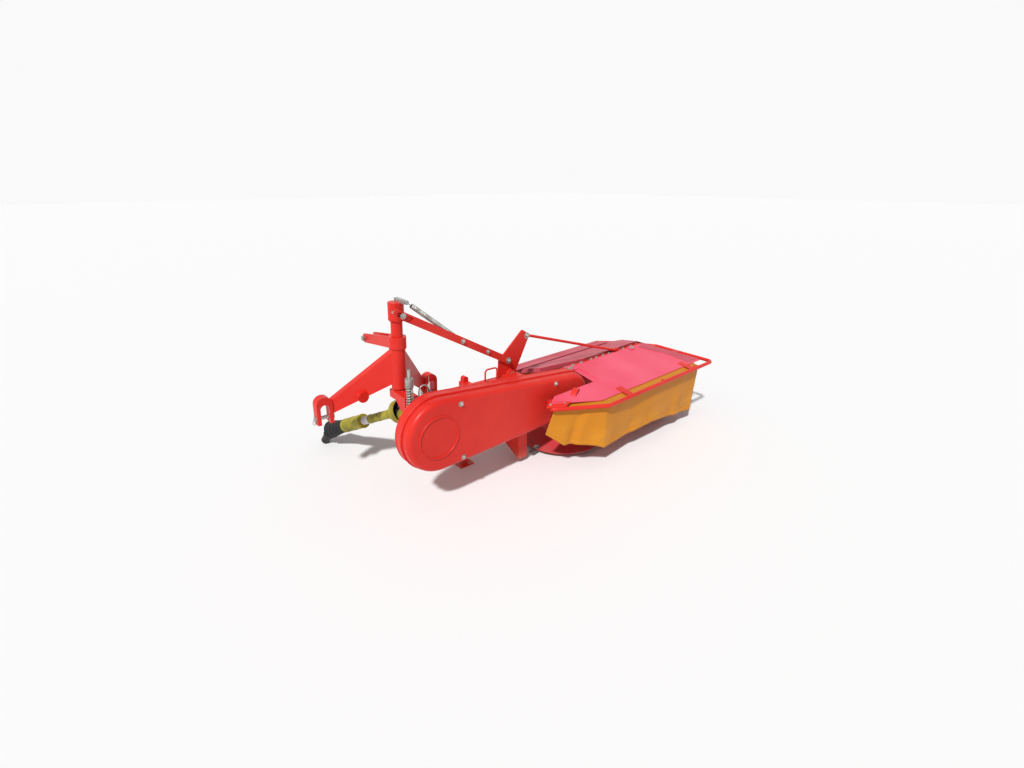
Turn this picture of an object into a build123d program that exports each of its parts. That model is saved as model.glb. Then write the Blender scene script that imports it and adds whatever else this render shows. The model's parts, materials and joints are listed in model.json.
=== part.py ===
from build123d import *
from math import acos, asin, atan2, cos, degrees, hypot, pi, radians, sin, tan
import os

# Rear mounted drum mower with two drums, parked on its stand.
# Millimetres. X runs out along the cutter, Y forward to the tractor, Z up.
# The left drum stands at X 0, Y 0 until the last step centres the whole.

# Fits and sheet
RUN_GAP = 0.3
PIVOT_GAP = 0.3
SHEET = 4.0
PLATE = 12.0

# Cutter hinge, and the lean of the frame that hangs from it
HINGE_X = -166.0
HINGE_Z = 480.0
LEAN = 2.9

# Drums
DRUM_SPACING = 815.0
DRUM_R = 140.0
DRUM_TOP = 260.0
DRUM_WALL = 6.0
DRUM_FOOT_R = 155.0
DRUM_FOOT_Z = 98.0
DRUM_FOOT_RISE = 12.0
DISC_R = 350.0
DISC_Z = 36.0
DISC_EDGE = 8.0
DISC_FLAT = 32.0
SHAFT_R = 30.0
SHAFT_TOP = 280.0
AXLE_R = 22.0
AXLE_TOP = 335.0
NECK_R = 44.0
NECK_BASE = 265.0
NECK_BORE_TOP = 345.0

# Knives
KNIFE_REACH = 65.0
KNIFE_LENGTH = 99.0
KNIFE_WIDTH = 48.0
KNIFE_BOLT_IN = 16.0
KNIFE_BOLT_RADIUS = 10.0
KNIFE_T = 4.0
KNIFE_DROP = 2.0
KNIFE_HEAD = 4.0
KNIFE_COUNT = 3
LEFT_KNIFE_ANGLE = 190.0
RIGHT_KNIFE_ANGLE = 50.0

# Sliding dishes under the drums
DISH_R = 262.0
DISH_FLAT_R = 200.0
DISH_EDGE_Z = 24.0
DISH_TOP = 34.0
DISH_HUB_R = 60.0
DISH_HUB_TOP = 60.0

# Gear beam over the drums and the gearbox in the hinge
GEAR_X0 = -60.0
GEAR_END = 95.0
GEAR_Y0 = -44.0
GEAR_Y1 = 100.0
GEAR_Z0 = 420.0
GEAR_Z1 = 565.0
GEAR_EDGE = 14.0
GEARBOX_R = 85.0
TRUNNION_R = 55.0
GEARBOX_NECK_Z0 = 430.0
GEARBOX_NECK_Z1 = 540.0

# Belt guard
BELT_CENTRES = 1131.0
GUARD_Y0 = -198.0
GUARD_DEPTH = 138.0
COVER_DEPTH = 72.0
GUARD_SHIFT = 25.0
GUARD_BIG_R = 245.0
GUARD_SMALL_R = 171.0
GUARD_NOSE = 70.0
GUARD_WALL = 4.0
GUARD_EDGE = 34.0
RING_R = 140.0
RING_WIDTH = 9.0
RING_HEIGHT = 2.5
BACK_PLATE_T = 8.0
BACK_PLATE_LIP = 6.0

# Main beam and hinge fork
BEAM_PAST = 29.0
BEAM_X1 = -240.0
BEAM_Y0 = 20.0
BEAM_Y1 = 120.0
BEAM_Z0 = 55.0
BEAM_Z1 = 165.0
BEAM_EDGE = 10.0
FORK_T = 25.0
FORK_LAP = 95.0
FORK_R = 78.0
FORK_SIDE_GAP = 5.0
STRUT_WIDTH = 50.0
STRUT_HEIGHT = 60.0
STRUT_X = (-1000.0, -640.0)
FORK_STRUT_X = -210.0

# Swing post and the arm that carries it
POST_PAST = 9.0
POST_Y = 280.0
POST_R = 38.0
POST_FOOT = 130.0
POST_CAP_R = 51.0
POST_CAP_Z = 648.0
POST_TOP = 764.0
ARM_WIDTH = 96.0
ARM_Z0 = 60.0
ARM_Z1 = 168.0
ARM_KNEE_Y = 175.0
ARM_RISE_Y = 245.0
ARM_FRONT_Z0 = 115.0
ARM_Y1 = 335.0
ARM_EDGE = 8.0

# Input shaft
INPUT_R = 46.0
INPUT_Y1 = 205.0
INPUT_FLANGE_R = 90.0
INPUT_FLANGE_T = 20.0
STUB_R = 20.0
SADDLE_WIDTH = 60.0
SHIELD_Y0 = 160.0
SHIELD_Y1 = 255.0
SHIELD_WALL = 4.0

# Headstock
SLEEVE_R = 50.0
SLEEVE_Z0 = 187.0
SLEEVE_Z1 = 540.0
COLLAR_R = 58.0
COLLAR_Z0 = 465.0
LEG_T = 50.0
LEG_ROOT_X = 30.0
LEG_ROOT_Z0 = 236.0
LEG_ROOT_Z1 = 462.0
LEG_TIP_Z0 = -18.0
LEG_TIP_Z1 = 78.0
LOWER_SPACING = 825.0
LOWER_FORWARD = 310.0
LOWER_Z = -43.0
CLEVIS_WIDTH = 110.0
CLEVIS_OPENING = 60.0
CLEVIS_LENGTH = 70.0
CLEVIS_TOP = 155.0
CLEVIS_BELOW = 40.0
CLEVIS_ROOF = 55.0
LOWER_PIN_R = 14.0
PIN_HEAD_R = 22.0
PIN_HEAD_T = 10.0
BOSS_X = -208.0
BOSS_Z = 122.0
BOSS_R = 37.0
BOSS_Y0 = 388.0
BOSS_Y1 = 440.0
TOP_FORWARD = 400.0
TOP_Z = 440.0
TOP_BORE_R = 12.75
CHEEK_GAP = 64.0
CHEEK_T = 12.0
CHEEK_TIP_R = 32.0

# Float linkage, in the plane of the lean
LEVER_Y0 = 150.0
LEVER_PIVOT = (-279.0, 144.0)
LEVER_PIN = (-306.0, 261.0)
LEVER_TOP = (-118.0, 424.0)
LEVER_SHAPE = ((-392, 95), (-386, 270), (-165, 478), (-92, 428), (-110, 385), (-245, 95))
LEVER_CORNER = 16.0
LEVER_PIVOT_R = 15.0
LEVER_BOSS_R = 42.0
LINK_PIN_R = 12.0
LINK_Y0 = 135.0
LINK_T = 12.0
LINK_TIP_R = 26.0
LINK_PEG_BACK = 33.0
LINK_PEG_Z = 706.0
LINK_PEG_GAP = 3.0
LINK_SLOT_BACK = 22.0
LINK_SLOT_AHEAD = 66.0
LINK_SLOT_GAP = 2.5
ROD_R = 11.0
ROD_EYE_R = 26.0
ROD_EYE_GAP = 16.0
ROD_PIN_R = 10.0
ROD_END = (738.0, 35.0, 597.0)
ROD_SLACK = 4.0
ROD_EYE_T = 12.0
ROD_BRACKET_GAP = 12.0
ROD_BRACKET_T = 10.0
ROD_BRACKET_LENGTH = 70.0

# Relief spring between the post and the link
SPRING_ARM_AHEAD = 19.0
SPRING_ARM_HALF = 14.0
SPRING_ARM_T = 22.0
SPRING_ARM_LAP = 30.0
SPRING_Y = 166.0
SPRING_SHARE = 0.52
SPRING_R = 17.0
SPRING_WIRE = 5.0
SPRING_HOOK = 28.0
STEM_GAP = 0.03
SPRING_BOLT_R = 8.0
SPRING_BOLT_PAST = 10.0

# Belt tension rod
TENSION_PAST = 61.0
TENSION_Y = 48.0
TENSION_ROD_R = 10.0
TENSION_Z0 = 45.0
TENSION_NUT_R = 15.0
TENSION_LUG_Z = 105.0
TENSION_LUG_T = 15.0
TENSION_SPRING_R = 24.0
TENSION_SPRING_TOP = 272.0
TENSION_CUP_TOP = 330.0
TENSION_CUP_R = 27.0
TENSION_TOP = 386.0

# Small pieces on the beam
HANDLE_X0 = -575.0
HANDLE_X1 = -468.0
HANDLE_RISE = 92.0
HANDLE_Y = 70.0
HANDLE_R = 6.0
HANDLE_BEND = 24.0
SHOE_X0 = -560.0
SHOE_X1 = -476.0
SHOE_REAR = -100.0
SHOE_FRONT = 100.0
SHOE_Z = 45.0
SHOE_FRONT_Z = 150.0
SHOE_TOP = 250.0
SHOE_HANGER_TOP = 560.0

# Parking stand
STAND_X = -680.0
STAND_Y = 177.0
STAND_SIDE = 40.0
STAND_TOP = 201.0
STAND_CROWN_R = 18.0
STAND_FOOT_LENGTH = 120.0
STAND_FOOT_WIDTH = 90.0
STAND_FOOT_T = 8.0
SOCKET_WALL = 8.0
SOCKET_Z0 = 50.0
SOCKET_Z1 = 160.0

# Hood
RIM_R = 15.0
RIM_Z = 515.0
RIM_BEND = 45.0
RIM_PATH = ((-405, -262), (-493, -306), (-87, -551), (1335, -551), (1335, 30), (1150, 315), (995, 467),
            (-235, 467), (-235, 290))
REAR_EDGE_Y = -475.0
REAR_EDGE_Z = 524.2
REAR_SLOPE = 9.5
RIDGE_REAR_Y = 5.0
TONGUE_Y = -11.0
NOTCH_Y0 = -256.0
NOTCH_Y1 = -45.0
REAR_SHAPE = ((-400, -283), (-440, -316), (-78, REAR_EDGE_Y), (1262, REAR_EDGE_Y), (1055, RIDGE_REAR_Y),
              (-50, RIDGE_REAR_Y), (-50, TONGUE_Y), (-230, TONGUE_Y), (-230, NOTCH_Y1), (135, NOTCH_Y1),
              (135, NOTCH_Y0), (-350, NOTCH_Y0))
FRONT_EDGE_Y = 418.0
FRONT_EDGE_Z = 522.0
FRONT_SLOPE = 13.5
RIDGE_FRONT_Y = 70.0
FRONT_SHAPE = ((-150, FRONT_EDGE_Y), (-60, 200), (330, RIDGE_FRONT_Y), (1065, RIDGE_FRONT_Y), (1130, 290),
               (975, FRONT_EDGE_Y))
END_X = 1312.0
END_REAR_Y = -440.0
END_FRONT_Y = 30.0
END_Z = 514.0
END_GAP = 0.5
STAY_X = (250.0, 700.0)
STAY_WIDTH = 40.0
STAY_T = 8.0
STAY_SET = 18.0
STRAP_X = (60.0, 860.0)
STRAP_WIDTH = 45.0
STRAP_T = 8.0
STRAP_LAP = 48.0
TAB_WIDTH = 60.0
TAB_T = 5.0
REAR_TAB_X = (180.0, 1028.0)
FRONT_TAB_X = (40.0, 480.0, 900.0)
WING_POST = (-425.0, -395.0, -292.0, -262.0)
CLIP_LENGTH = 40.0
CLIP_WIDTH = 30.0
CLIPS = ((2, 0.2), (2, 0.5), (2, 0.84), (4, 0.5), (5, 0.5), (6, 0.1), (6, 0.5), (6, 0.85))

# Curtain
CURTAIN_T = 6.0
CURTAIN_INSET = 26.0
CURTAIN_BOTTOM = 135.0
CURTAIN_TOP = 512.0
CURTAIN_STRIP = 56.0
CURTAIN_STRIP_T = 4.0
CURTAIN_SPLIT_GAP = 2.0
CURTAIN_START = 100.0
CURTAIN_REAR_END = 1160.0

# Drive shaft lying with its free end on the ground
CROSS_Y = 300.0
PTO_TOWARD = (-1581.0, 1328.0)
PTO_CONE_R = 80.0
PTO_CONE_BACK = 25.0
PTO_CONE_SKIRT = 25.0
PTO_CONE_END = 115.0
PTO_CONE_WALL = 3.0
PTO_TUBE_R = 32.0
PTO_BAND_R = 30.0
PTO_BAND_LENGTH = 85.0
PTO_OUTER_R = 53.0
PTO_BELL_R = 70.0
BELL_BACK = 230.0
BELL_NECK = 60.0
BELL_SHORT = 15.0
OUTER_CROSS = 930.0
END_YOKE_LENGTH = 150.0
END_YOKE_BEND = 30.0
YOKE_BORE_DEPTH = 70.0
PTO_YOKE_R = 42.0
PTO_YOKE_HUB_R = 33.0
PTO_BORE_R = 17.5
YOKE_EAR_T = 16.0
YOKE_EAR_WIDTH = 38.0
CROSS_R = 11.0
YOKE_HUB_LENGTH = 30.0
YOKE_LENGTH = 62.0

PTO_OUTER_END = OUTER_CROSS - BELL_BACK
PTO_TUBE_END = (PTO_CONE_END + PTO_OUTER_END - PTO_BAND_LENGTH) / 2
PTO_BAND_END = PTO_TUBE_END + PTO_BAND_LENGTH
KNIFE_R = DISC_R + KNIFE_REACH
POST_X = -(BELT_CENTRES + POST_PAST)
BEAM_X0 = -(BELT_CENTRES + BEAM_PAST)
TENSION_X = -(BELT_CENTRES + TENSION_PAST)
LINK_PIN = (POST_X - LINK_PEG_BACK, LINK_PEG_Z)
SPRING_TOP = (POST_X + SPRING_ARM_AHEAD, POST_TOP + SPRING_ARM_T / 2)
FRAME = Pos(HINGE_X, 0, HINGE_Z) * Rot(0, LEAN, 0)


def on_frame(x, z):
    """Place of a point of the leaning frame, as X and Z of the level cutter."""
    a = radians(LEAN)
    return HINGE_X + x * cos(a) + z * sin(a), HINGE_Z - x * sin(a) + z * cos(a)


def block(x0, x1, y0, y1, z0, z1):
    return Pos((x0 + x1) / 2, (y0 + y1) / 2, (z0 + z1) / 2) * Box(x1 - x0, y1 - y0, z1 - z0)


def rod_x(y, z, radius, x0, x1):
    return Pos((x0 + x1) / 2, y, z) * Rot(0, 90, 0) * Cylinder(radius, x1 - x0)


def rod_y(x, z, radius, y0, y1):
    return Pos(x, (y0 + y1) / 2, z) * Rot(90, 0, 0) * Cylinder(radius, y1 - y0)


def rod_z(x, y, radius, z0, z1):
    return Pos(x, y, (z0 + z1) / 2) * Cylinder(radius, z1 - z0)


def along(start, end):
    """Location at start whose Z points to end."""
    way = Vector(*end) - Vector(*start)
    return Location(Plane(origin=start, z_dir=way)), way.length


def polygon(points):
    return make_face(Polyline(*points, close=True))


def taper(p, rp, q, rq):
    """Outline round two circles and their outer tangents."""
    turn = atan2(q[1] - p[1], q[0] - p[0])
    lean = acos((rp - rq) / hypot(q[0] - p[0], q[1] - p[1]))

    def rim(centre, radius, angle):
        return centre[0] + radius * cos(angle), centre[1] + radius * sin(angle)

    p1, q1 = rim(p, rp, turn + lean), rim(q, rq, turn + lean)
    p2, q2 = rim(p, rp, turn - lean), rim(q, rq, turn - lean)
    return make_face([
        Line(p1, q1),
        ThreePointArc(q1, rim(q, rq, turn), q2),
        Line(q2, p2),
        ThreePointArc(p2, rim(p, rp, turn + pi), p1),
    ])


def plate_xz(face, y0, y1):
    return extrude(Plane.XZ.offset(-y1) * face, y1 - y0)


def plate_yz(face, x0, x1):
    return extrude(Plane.YZ.offset(x0) * face, x1 - x0)


def plate_xy(face, z0, z1):
    return extrude(Plane.XY.offset(z0) * face, z1 - z0)


def turned(points):
    """Solid of revolution about Z from radius and height pairs."""
    return revolve(Plane.XZ * polygon(points), Axis.Z)


def bent_rod(points, bend, radius):
    path = FilletPolyline(*points, radius=bend)
    return sweep(Plane(origin=path @ 0, z_dir=path % 0) * Circle(radius), path=path)


def sided(points, distance):
    """Open plan line moved sideways to its left, mitred at the corners."""
    normals = []
    for (x0, y0), (x1, y1) in zip(points, points[1:]):
        run = hypot(x1 - x0, y1 - y0)
        normals.append(((y0 - y1) / run, (x1 - x0) / run))
    moved = []
    for i, (x, y) in enumerate(points):
        before, after = normals[max(i - 1, 0)], normals[min(i, len(normals) - 1)]
        share = 1 + before[0] * after[0] + before[1] * after[1]
        step = distance / share
        moved.append((x + step * (before[0] + after[0]), y + step * (before[1] + after[1])))
    return moved


def plan_strip(points, near, far):
    """Plan band between two distances to the left of an open line."""
    return polygon(sided(points, near) + sided(points, far)[::-1])


def coil(core, radius, wire, length):
    """Close wound spring body round a core: one round rib to each turn."""
    turns = round(length / wire)
    pitch = length / turns
    root = radius - wire / 2
    edges = [Line((core, 0), (root, 0))]
    for i in range(turns):
        z = i * pitch
        edges.append(ThreePointArc((root, z), (radius, z + pitch / 2), (root, z + pitch)))
    edges += [Line((root, length), (core, length)), Line((core, length), (core, 0))]
    return revolve(Plane.XZ * make_face(edges), Axis.Z)


nodes = {}


def node(name, *shapes):
    solids = [solid for shape in shapes for solid in shape.solids()]
    nodes[name] = solids[0] if len(solids) == 1 else Compound(solids)


# Drums, knives and sliding dishes
def drum(x):
    shell = turned((
        (DISC_R, DISC_Z), (DISC_R, DISC_Z + DISC_EDGE), (DRUM_FOOT_R, DRUM_FOOT_Z),
        (DRUM_R, DRUM_FOOT_Z + DRUM_FOOT_RISE),
        (DRUM_R, DRUM_TOP), (SHAFT_R, DRUM_TOP), (SHAFT_R, SHAFT_TOP), (AXLE_R, SHAFT_TOP),
        (AXLE_R, DRUM_TOP - DRUM_WALL), (DRUM_R - DRUM_WALL, DRUM_TOP - DRUM_WALL),
        (DRUM_R - DRUM_WALL, DRUM_FOOT_Z + DRUM_WALL), (DRUM_FOOT_R, DRUM_FOOT_Z - DISC_EDGE),
        (DISC_R - DISC_FLAT, DISC_Z)))
    return Pos(x, 0, 0) * shell


def knives(x, first):
    top = DISC_Z - KNIFE_DROP
    blade = block(KNIFE_R - KNIFE_LENGTH, KNIFE_R, -KNIFE_WIDTH / 2, KNIFE_WIDTH / 2, top - KNIFE_T, top)
    bolt = rod_z(DISC_R - KNIFE_BOLT_IN, 0, KNIFE_BOLT_RADIUS, top - KNIFE_T - KNIFE_HEAD, DISC_Z)
    turns = [first + i * 360 / KNIFE_COUNT for i in range(KNIFE_COUNT)]
    return [Pos(x, 0, 0) * Rot(0, 0, turn) * (blade + bolt) for turn in turns]


def dish(x):
    return Pos(x, 0, 0) * turned((
        (0, 0), (DISH_FLAT_R, 0), (DISH_R, DISH_EDGE_Z), (DISH_R - SHEET, DISH_EDGE_Z + SHEET),
        (DISH_HUB_R, DISH_TOP), (DISH_HUB_R, DISH_HUB_TOP), (AXLE_R - RUN_GAP, DISH_HUB_TOP),
        (AXLE_R - RUN_GAP, AXLE_TOP), (0, AXLE_TOP)))


for side, drum_x, first in (("left", 0.0, LEFT_KNIFE_ANGLE), ("right", DRUM_SPACING, RIGHT_KNIFE_ANGLE)):
    node(f"drum_{side}", drum(drum_x))
    node(f"knives_{side}", *knives(drum_x, first))
    node(f"slide_dish_{side}", dish(drum_x))

# Gear beam, drum necks and the gearbox that turns in the hinge fork
GEAR_X1 = DRUM_SPACING + GEAR_END
gear_beam = block(GEAR_X0, GEAR_X1, GEAR_Y0, GEAR_Y1, GEAR_Z0, GEAR_Z1)
gear_beam = fillet(gear_beam.edges().filter_by(Axis.X), GEAR_EDGE)
node("gear_beam", gear_beam)
node("drum_necks", *[
    rod_z(x, 0, NECK_R, NECK_BASE, GEAR_Z0) - rod_z(x, 0, SHAFT_R + RUN_GAP, NECK_BASE, NECK_BORE_TOP)
    for x in (0, DRUM_SPACING)])
FORK_REAR = BEAM_Y0 - FORK_T
FORK_FRONT = BEAM_Y1 + FORK_T
gearbox = rod_y(HINGE_X, HINGE_Z, TRUNNION_R, FORK_REAR, FORK_FRONT)
gearbox += rod_y(HINGE_X, HINGE_Z, GEARBOX_R, BEAM_Y0 + FORK_SIDE_GAP, BEAM_Y1 - FORK_SIDE_GAP)
gearbox += block(HINGE_X, GEAR_X0, BEAM_Y0 + FORK_SIDE_GAP, GEAR_Y1 - GEAR_EDGE,
                 GEARBOX_NECK_Z0, GEARBOX_NECK_Z1)
node("gearbox", gearbox)


# Hood: sheets that fall from the ridge to the rim, on stays from the gear beam
def rear_z(x, y):
    return REAR_EDGE_Z + (y - REAR_EDGE_Y) * tan(radians(REAR_SLOPE))


def front_z(x, y):
    return FRONT_EDGE_Z + (FRONT_EDGE_Y - y) * tan(radians(FRONT_SLOPE))


def roof(points, height, thickness):
    """Flat sheet over plan points, as high as height says, thickened upwards."""
    edge = Polyline(*[(x, y, height(x, y)) for x, y in points], close=True)
    return extrude(make_face(edge), amount=thickness, dir=(0, 0, 1))


def plane_z(a, b, c):
    """Height over the plan of the plane through three points."""
    normal = (Vector(*b) - Vector(*a)).cross(Vector(*c) - Vector(*a))
    return lambda x, y: a[2] - (normal.X * (x - a[0]) + normal.Y * (y - a[1])) / normal.Z


def strip_plan(x, width, y0, y1):
    return ((x - width / 2, y0), (x + width / 2, y0), (x + width / 2, y1), (x - width / 2, y1))


rear_corner = REAR_SHAPE[3]
rear_ridge = REAR_SHAPE[4]
front_ridge = FRONT_SHAPE[3]
front_side = FRONT_SHAPE[4]
side_front = (END_X, END_FRONT_Y, END_Z)
end_rear_z = plane_z((*rear_ridge, rear_z(*rear_ridge)), (*rear_corner, rear_z(*rear_corner)), side_front)
end_front_z = plane_z((*front_ridge, front_z(*front_ridge)), (*front_side, front_z(*front_side)), side_front)
end_rear = roof(((rear_corner[0] + END_GAP, rear_corner[1]), (END_X, END_REAR_Y), (END_X, END_FRONT_Y),
                 (rear_ridge[0] + END_GAP, rear_ridge[1])), end_rear_z, SHEET)
end_front = roof(((front_ridge[0] + END_GAP, front_ridge[1]), (END_X, END_FRONT_Y + END_GAP),
                  (front_side[0] + END_GAP, front_side[1])), end_front_z, SHEET)
rear_sheet = roof(REAR_SHAPE, rear_z, SHEET)
front_sheet = roof(FRONT_SHAPE, front_z, SHEET)
for x in STAY_X:
    seat = (x - STAY_WIDTH / 2, x + STAY_WIDTH / 2)
    rear_seat_y = GEAR_Y0 + GEAR_EDGE
    stay = strip_plan(x, STAY_WIDTH, REAR_EDGE_Y + CURTAIN_STRIP, rear_seat_y + STAY_SET)
    rear_sheet += roof(stay, lambda px, py: rear_z(px, py) - STAY_T, STAY_T)
    seat_top = rear_z(x, rear_seat_y) - STAY_T / 2
    rear_sheet += block(*seat, rear_seat_y, rear_seat_y + STAY_SET, GEAR_Z1, seat_top)
    front_seat_y = GEAR_Y1 - GEAR_EDGE
    stay = strip_plan(x, STAY_WIDTH, front_seat_y - STAY_SET / 2, FRONT_EDGE_Y - CURTAIN_STRIP)
    front_sheet += roof(stay, lambda px, py: front_z(px, py) - STAY_T, STAY_T)
    seat_top = front_z(x, front_seat_y) - STAY_T / 2
    front_sheet += block(*seat, front_seat_y - STAY_SET / 2, front_seat_y, GEAR_Z1, seat_top)
node("hood_rear_sheet", rear_sheet)
node("hood_front_sheet", front_sheet)
node("hood_end_sheets", end_rear, end_front)

# Rim tube, its tabs and the clips that hold the curtain
REAR_PLACE = Pos(0, REAR_EDGE_Y, REAR_EDGE_Z) * Rot(REAR_SLOPE, 0, 0)
FRONT_PLACE = Pos(0, FRONT_EDGE_Y, FRONT_EDGE_Z) * Rot(-FRONT_SLOPE, 0, 0)
rear_top = SHEET * cos(radians(REAR_SLOPE))
front_top = SHEET * cos(radians(FRONT_SLOPE))
rim_plan = [(float(x), float(y)) for x, y in RIM_PATH]
rim = bent_rod([(x, y, RIM_Z) for x, y in rim_plan], RIM_BEND, RIM_R)
rim_rear = min(y for x, y in rim_plan)
rim_front = max(y for x, y in rim_plan)
rim_right = max(x for x, y in rim_plan)
half = TAB_WIDTH / 2
for x in REAR_TAB_X:
    tab = block(x - half, x + half, rim_rear - REAR_EDGE_Y, TAB_WIDTH, rear_top, rear_top + TAB_T)
    rim += REAR_PLACE * tab
for x in FRONT_TAB_X:
    tab = block(x - half, x + half, -TAB_WIDTH, rim_front - FRONT_EDGE_Y, front_top, front_top + TAB_T)
    rim += FRONT_PLACE * tab
side_y = (END_REAR_Y + END_FRONT_Y) / 2
under_plan = strip_plan(END_X, 2 * TAB_WIDTH, side_y - TAB_WIDTH, side_y + TAB_WIDTH)
under_sheet = roof(under_plan, lambda px, py: end_rear_z(px, py) + SHEET, -2 * RIM_R)
side_tab = block(END_X - TAB_WIDTH / 2, rim_right, side_y - half, side_y + half, RIM_Z, RIM_Z + RIM_R)
rim += side_tab - under_sheet
wing_plan = ((WING_POST[0], WING_POST[2]), (WING_POST[1], WING_POST[2]), (WING_POST[1], WING_POST[3]),
             (WING_POST[0], WING_POST[3]))
rim += roof(wing_plan, lambda px, py: RIM_Z, rear_z(WING_POST[0], WING_POST[2]) - RIM_Z)
clip_z0 = CURTAIN_TOP + RUN_GAP
clip_z1 = RIM_Z + RIM_R / 2
for run, share in CLIPS:
    (x0, y0), (x1, y1) = rim_plan[run], rim_plan[run + 1]
    turn = degrees(atan2(y1 - y0, x1 - x0))
    place = Pos(x0 + (x1 - x0) * share, y0 + (y1 - y0) * share, 0) * Rot(0, 0, turn)
    rim += place * block(-CLIP_WIDTH / 2, CLIP_WIDTH / 2, 0, CLIP_LENGTH, clip_z0, clip_z1)
node("hood_rim", rim)

# Straps that hold the rear sheet down to the gear beam
straps = []
for x in STRAP_X:
    half = STRAP_WIDTH / 2
    ridge = (RIDGE_REAR_Y - REAR_EDGE_Y) / cos(radians(REAR_SLOPE))
    strap = block(x - half, x + half, ridge - STRAP_LAP, ridge + STRAP_T, rear_top, rear_top + STRAP_T)
    strap = REAR_PLACE * strap
    strap_top = rear_z(x, RIDGE_REAR_Y) + STRAP_T
    strap += block(x - half, x + half, RIDGE_REAR_Y, RIDGE_REAR_Y + STRAP_T, GEAR_Z1, strap_top)
    straps.append(strap)
node("hood_straps", *straps)


# Curtain, hung just inside the rim in three lengths
def curtain(points):
    wall = plate_xy(plan_strip(points, CURTAIN_INSET, CURTAIN_INSET + CURTAIN_T), CURTAIN_BOTTOM, CURTAIN_TOP)
    strip = plan_strip(points, CURTAIN_INSET, CURTAIN_INSET + CURTAIN_STRIP)
    return wall + plate_xy(strip, CURTAIN_TOP - CURTAIN_STRIP_T, CURTAIN_TOP)


corner_front = (rim_plan[6][0] - RIM_BEND, rim_plan[6][1])
corner_next = (corner_front[0] - CURTAIN_SPLIT_GAP, corner_front[1])
start_share = CURTAIN_START / hypot(rim_plan[2][0] - rim_plan[1][0], rim_plan[2][1] - rim_plan[1][1])
start_rear = tuple(a + (b - a) * start_share for a, b in zip(rim_plan[1], rim_plan[2]))
front_stop = (rim_plan[7][0] + CURTAIN_INSET, rim_plan[7][1])
node("curtain_rear", curtain([start_rear, rim_plan[2], (CURTAIN_REAR_END, rim_plan[2][1])]))
node("curtain_right", curtain([rim_plan[4], rim_plan[5], rim_plan[6], corner_front]))
node("curtain_front", curtain([corner_next, front_stop]))


# Belt guard: a dished cover in front of a tray
def belt_case(grow):
    big = (GUARD_SHIFT - BELT_CENTRES, 0)
    nose = (GUARD_NOSE, 0)
    return taper(big, GUARD_BIG_R + grow, nose, GUARD_SMALL_R + grow)


def dished(grow, y0, y1, edge):
    case = plate_xz(belt_case(grow), y0, y1)
    return fillet(case.faces().sort_by(Axis.Y)[0].edges(), edge)


COVER_Y1 = GUARD_Y0 + COVER_DEPTH
GUARD_Y1 = GUARD_Y0 + GUARD_DEPTH
BACK_Y1 = GUARD_Y1 + BACK_PLATE_T
cover = dished(0, GUARD_Y0, COVER_Y1, GUARD_EDGE)
cover -= dished(-GUARD_WALL, GUARD_Y0 + GUARD_WALL, COVER_Y1, GUARD_EDGE - GUARD_WALL)
ring = rod_y(-BELT_CENTRES, 0, RING_R + RING_WIDTH / 2, GUARD_Y0 - RING_HEIGHT, GUARD_Y0)
ring -= rod_y(-BELT_CENTRES, 0, RING_R - RING_WIDTH / 2, GUARD_Y0 - RING_HEIGHT, GUARD_Y0)
node("belt_guard", FRAME * (cover + ring))
tray = plate_xz(belt_case(BACK_PLATE_LIP), COVER_Y1, BACK_Y1)
tray -= plate_xz(belt_case(-GUARD_WALL), COVER_Y1, GUARD_Y1)
node("guard_back_plate", FRAME * tray)

# Main beam, its struts to the back plate, and the hinge fork
main_beam = block(BEAM_X0, BEAM_X1, BEAM_Y0, BEAM_Y1, BEAM_Z0, BEAM_Z1)
main_beam = fillet(main_beam.edges().filter_by(Axis.X), BEAM_EDGE)
lug_r = TENSION_CUP_R + SHEET
lug = taper((TENSION_X, TENSION_Y), lug_r, (BEAM_X0 + lug_r, TENSION_Y), lug_r)
lug = plate_xy(lug, TENSION_LUG_Z, TENSION_LUG_Z + TENSION_LUG_T)
lug -= rod_z(TENSION_X, TENSION_Y, TENSION_ROD_R + RUN_GAP, 0, BEAM_Z1)
node("main_beam", FRAME * (main_beam + lug))
strut_z = (BEAM_Z0 + BEAM_Z1 - STRUT_HEIGHT) / 2
struts = [block(x, x + STRUT_WIDTH, BACK_Y1, BEAM_Y0, strut_z, strut_z + STRUT_HEIGHT) for x in STRUT_X]
struts.append(block(FORK_STRUT_X, FORK_STRUT_X + STRUT_WIDTH, BACK_Y1, FORK_REAR, 0, STRUT_HEIGHT))
node("guard_struts", *[FRAME * strut for strut in struts])

fork_z = (BEAM_Z0 + BEAM_Z1) / 2
fork_end = (BEAM_X1 - FORK_LAP, fork_z)
fork_half = (BEAM_Z1 - BEAM_Z0) / 2 - BEAM_EDGE
fork_plate = taper((0, 0), FORK_R, fork_end, fork_half)
fork_bore = rod_y(0, 0, TRUNNION_R + PIVOT_GAP, FORK_REAR, FORK_FRONT)
fork_rear = plate_xz(fork_plate, FORK_REAR, BEAM_Y0) - fork_bore
fork_front = plate_xz(fork_plate + Pos(*LEVER_PIVOT) * Circle(LEVER_BOSS_R), BEAM_Y1, FORK_FRONT) - fork_bore
LEVER_Y1 = LEVER_Y0 + PLATE
fork_front += rod_y(LEVER_PIVOT[0], LEVER_PIVOT[1], LEVER_PIVOT_R, FORK_FRONT, LEVER_Y1)
node("hinge_fork", FRAME * fork_rear, FRAME * fork_front)

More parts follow.
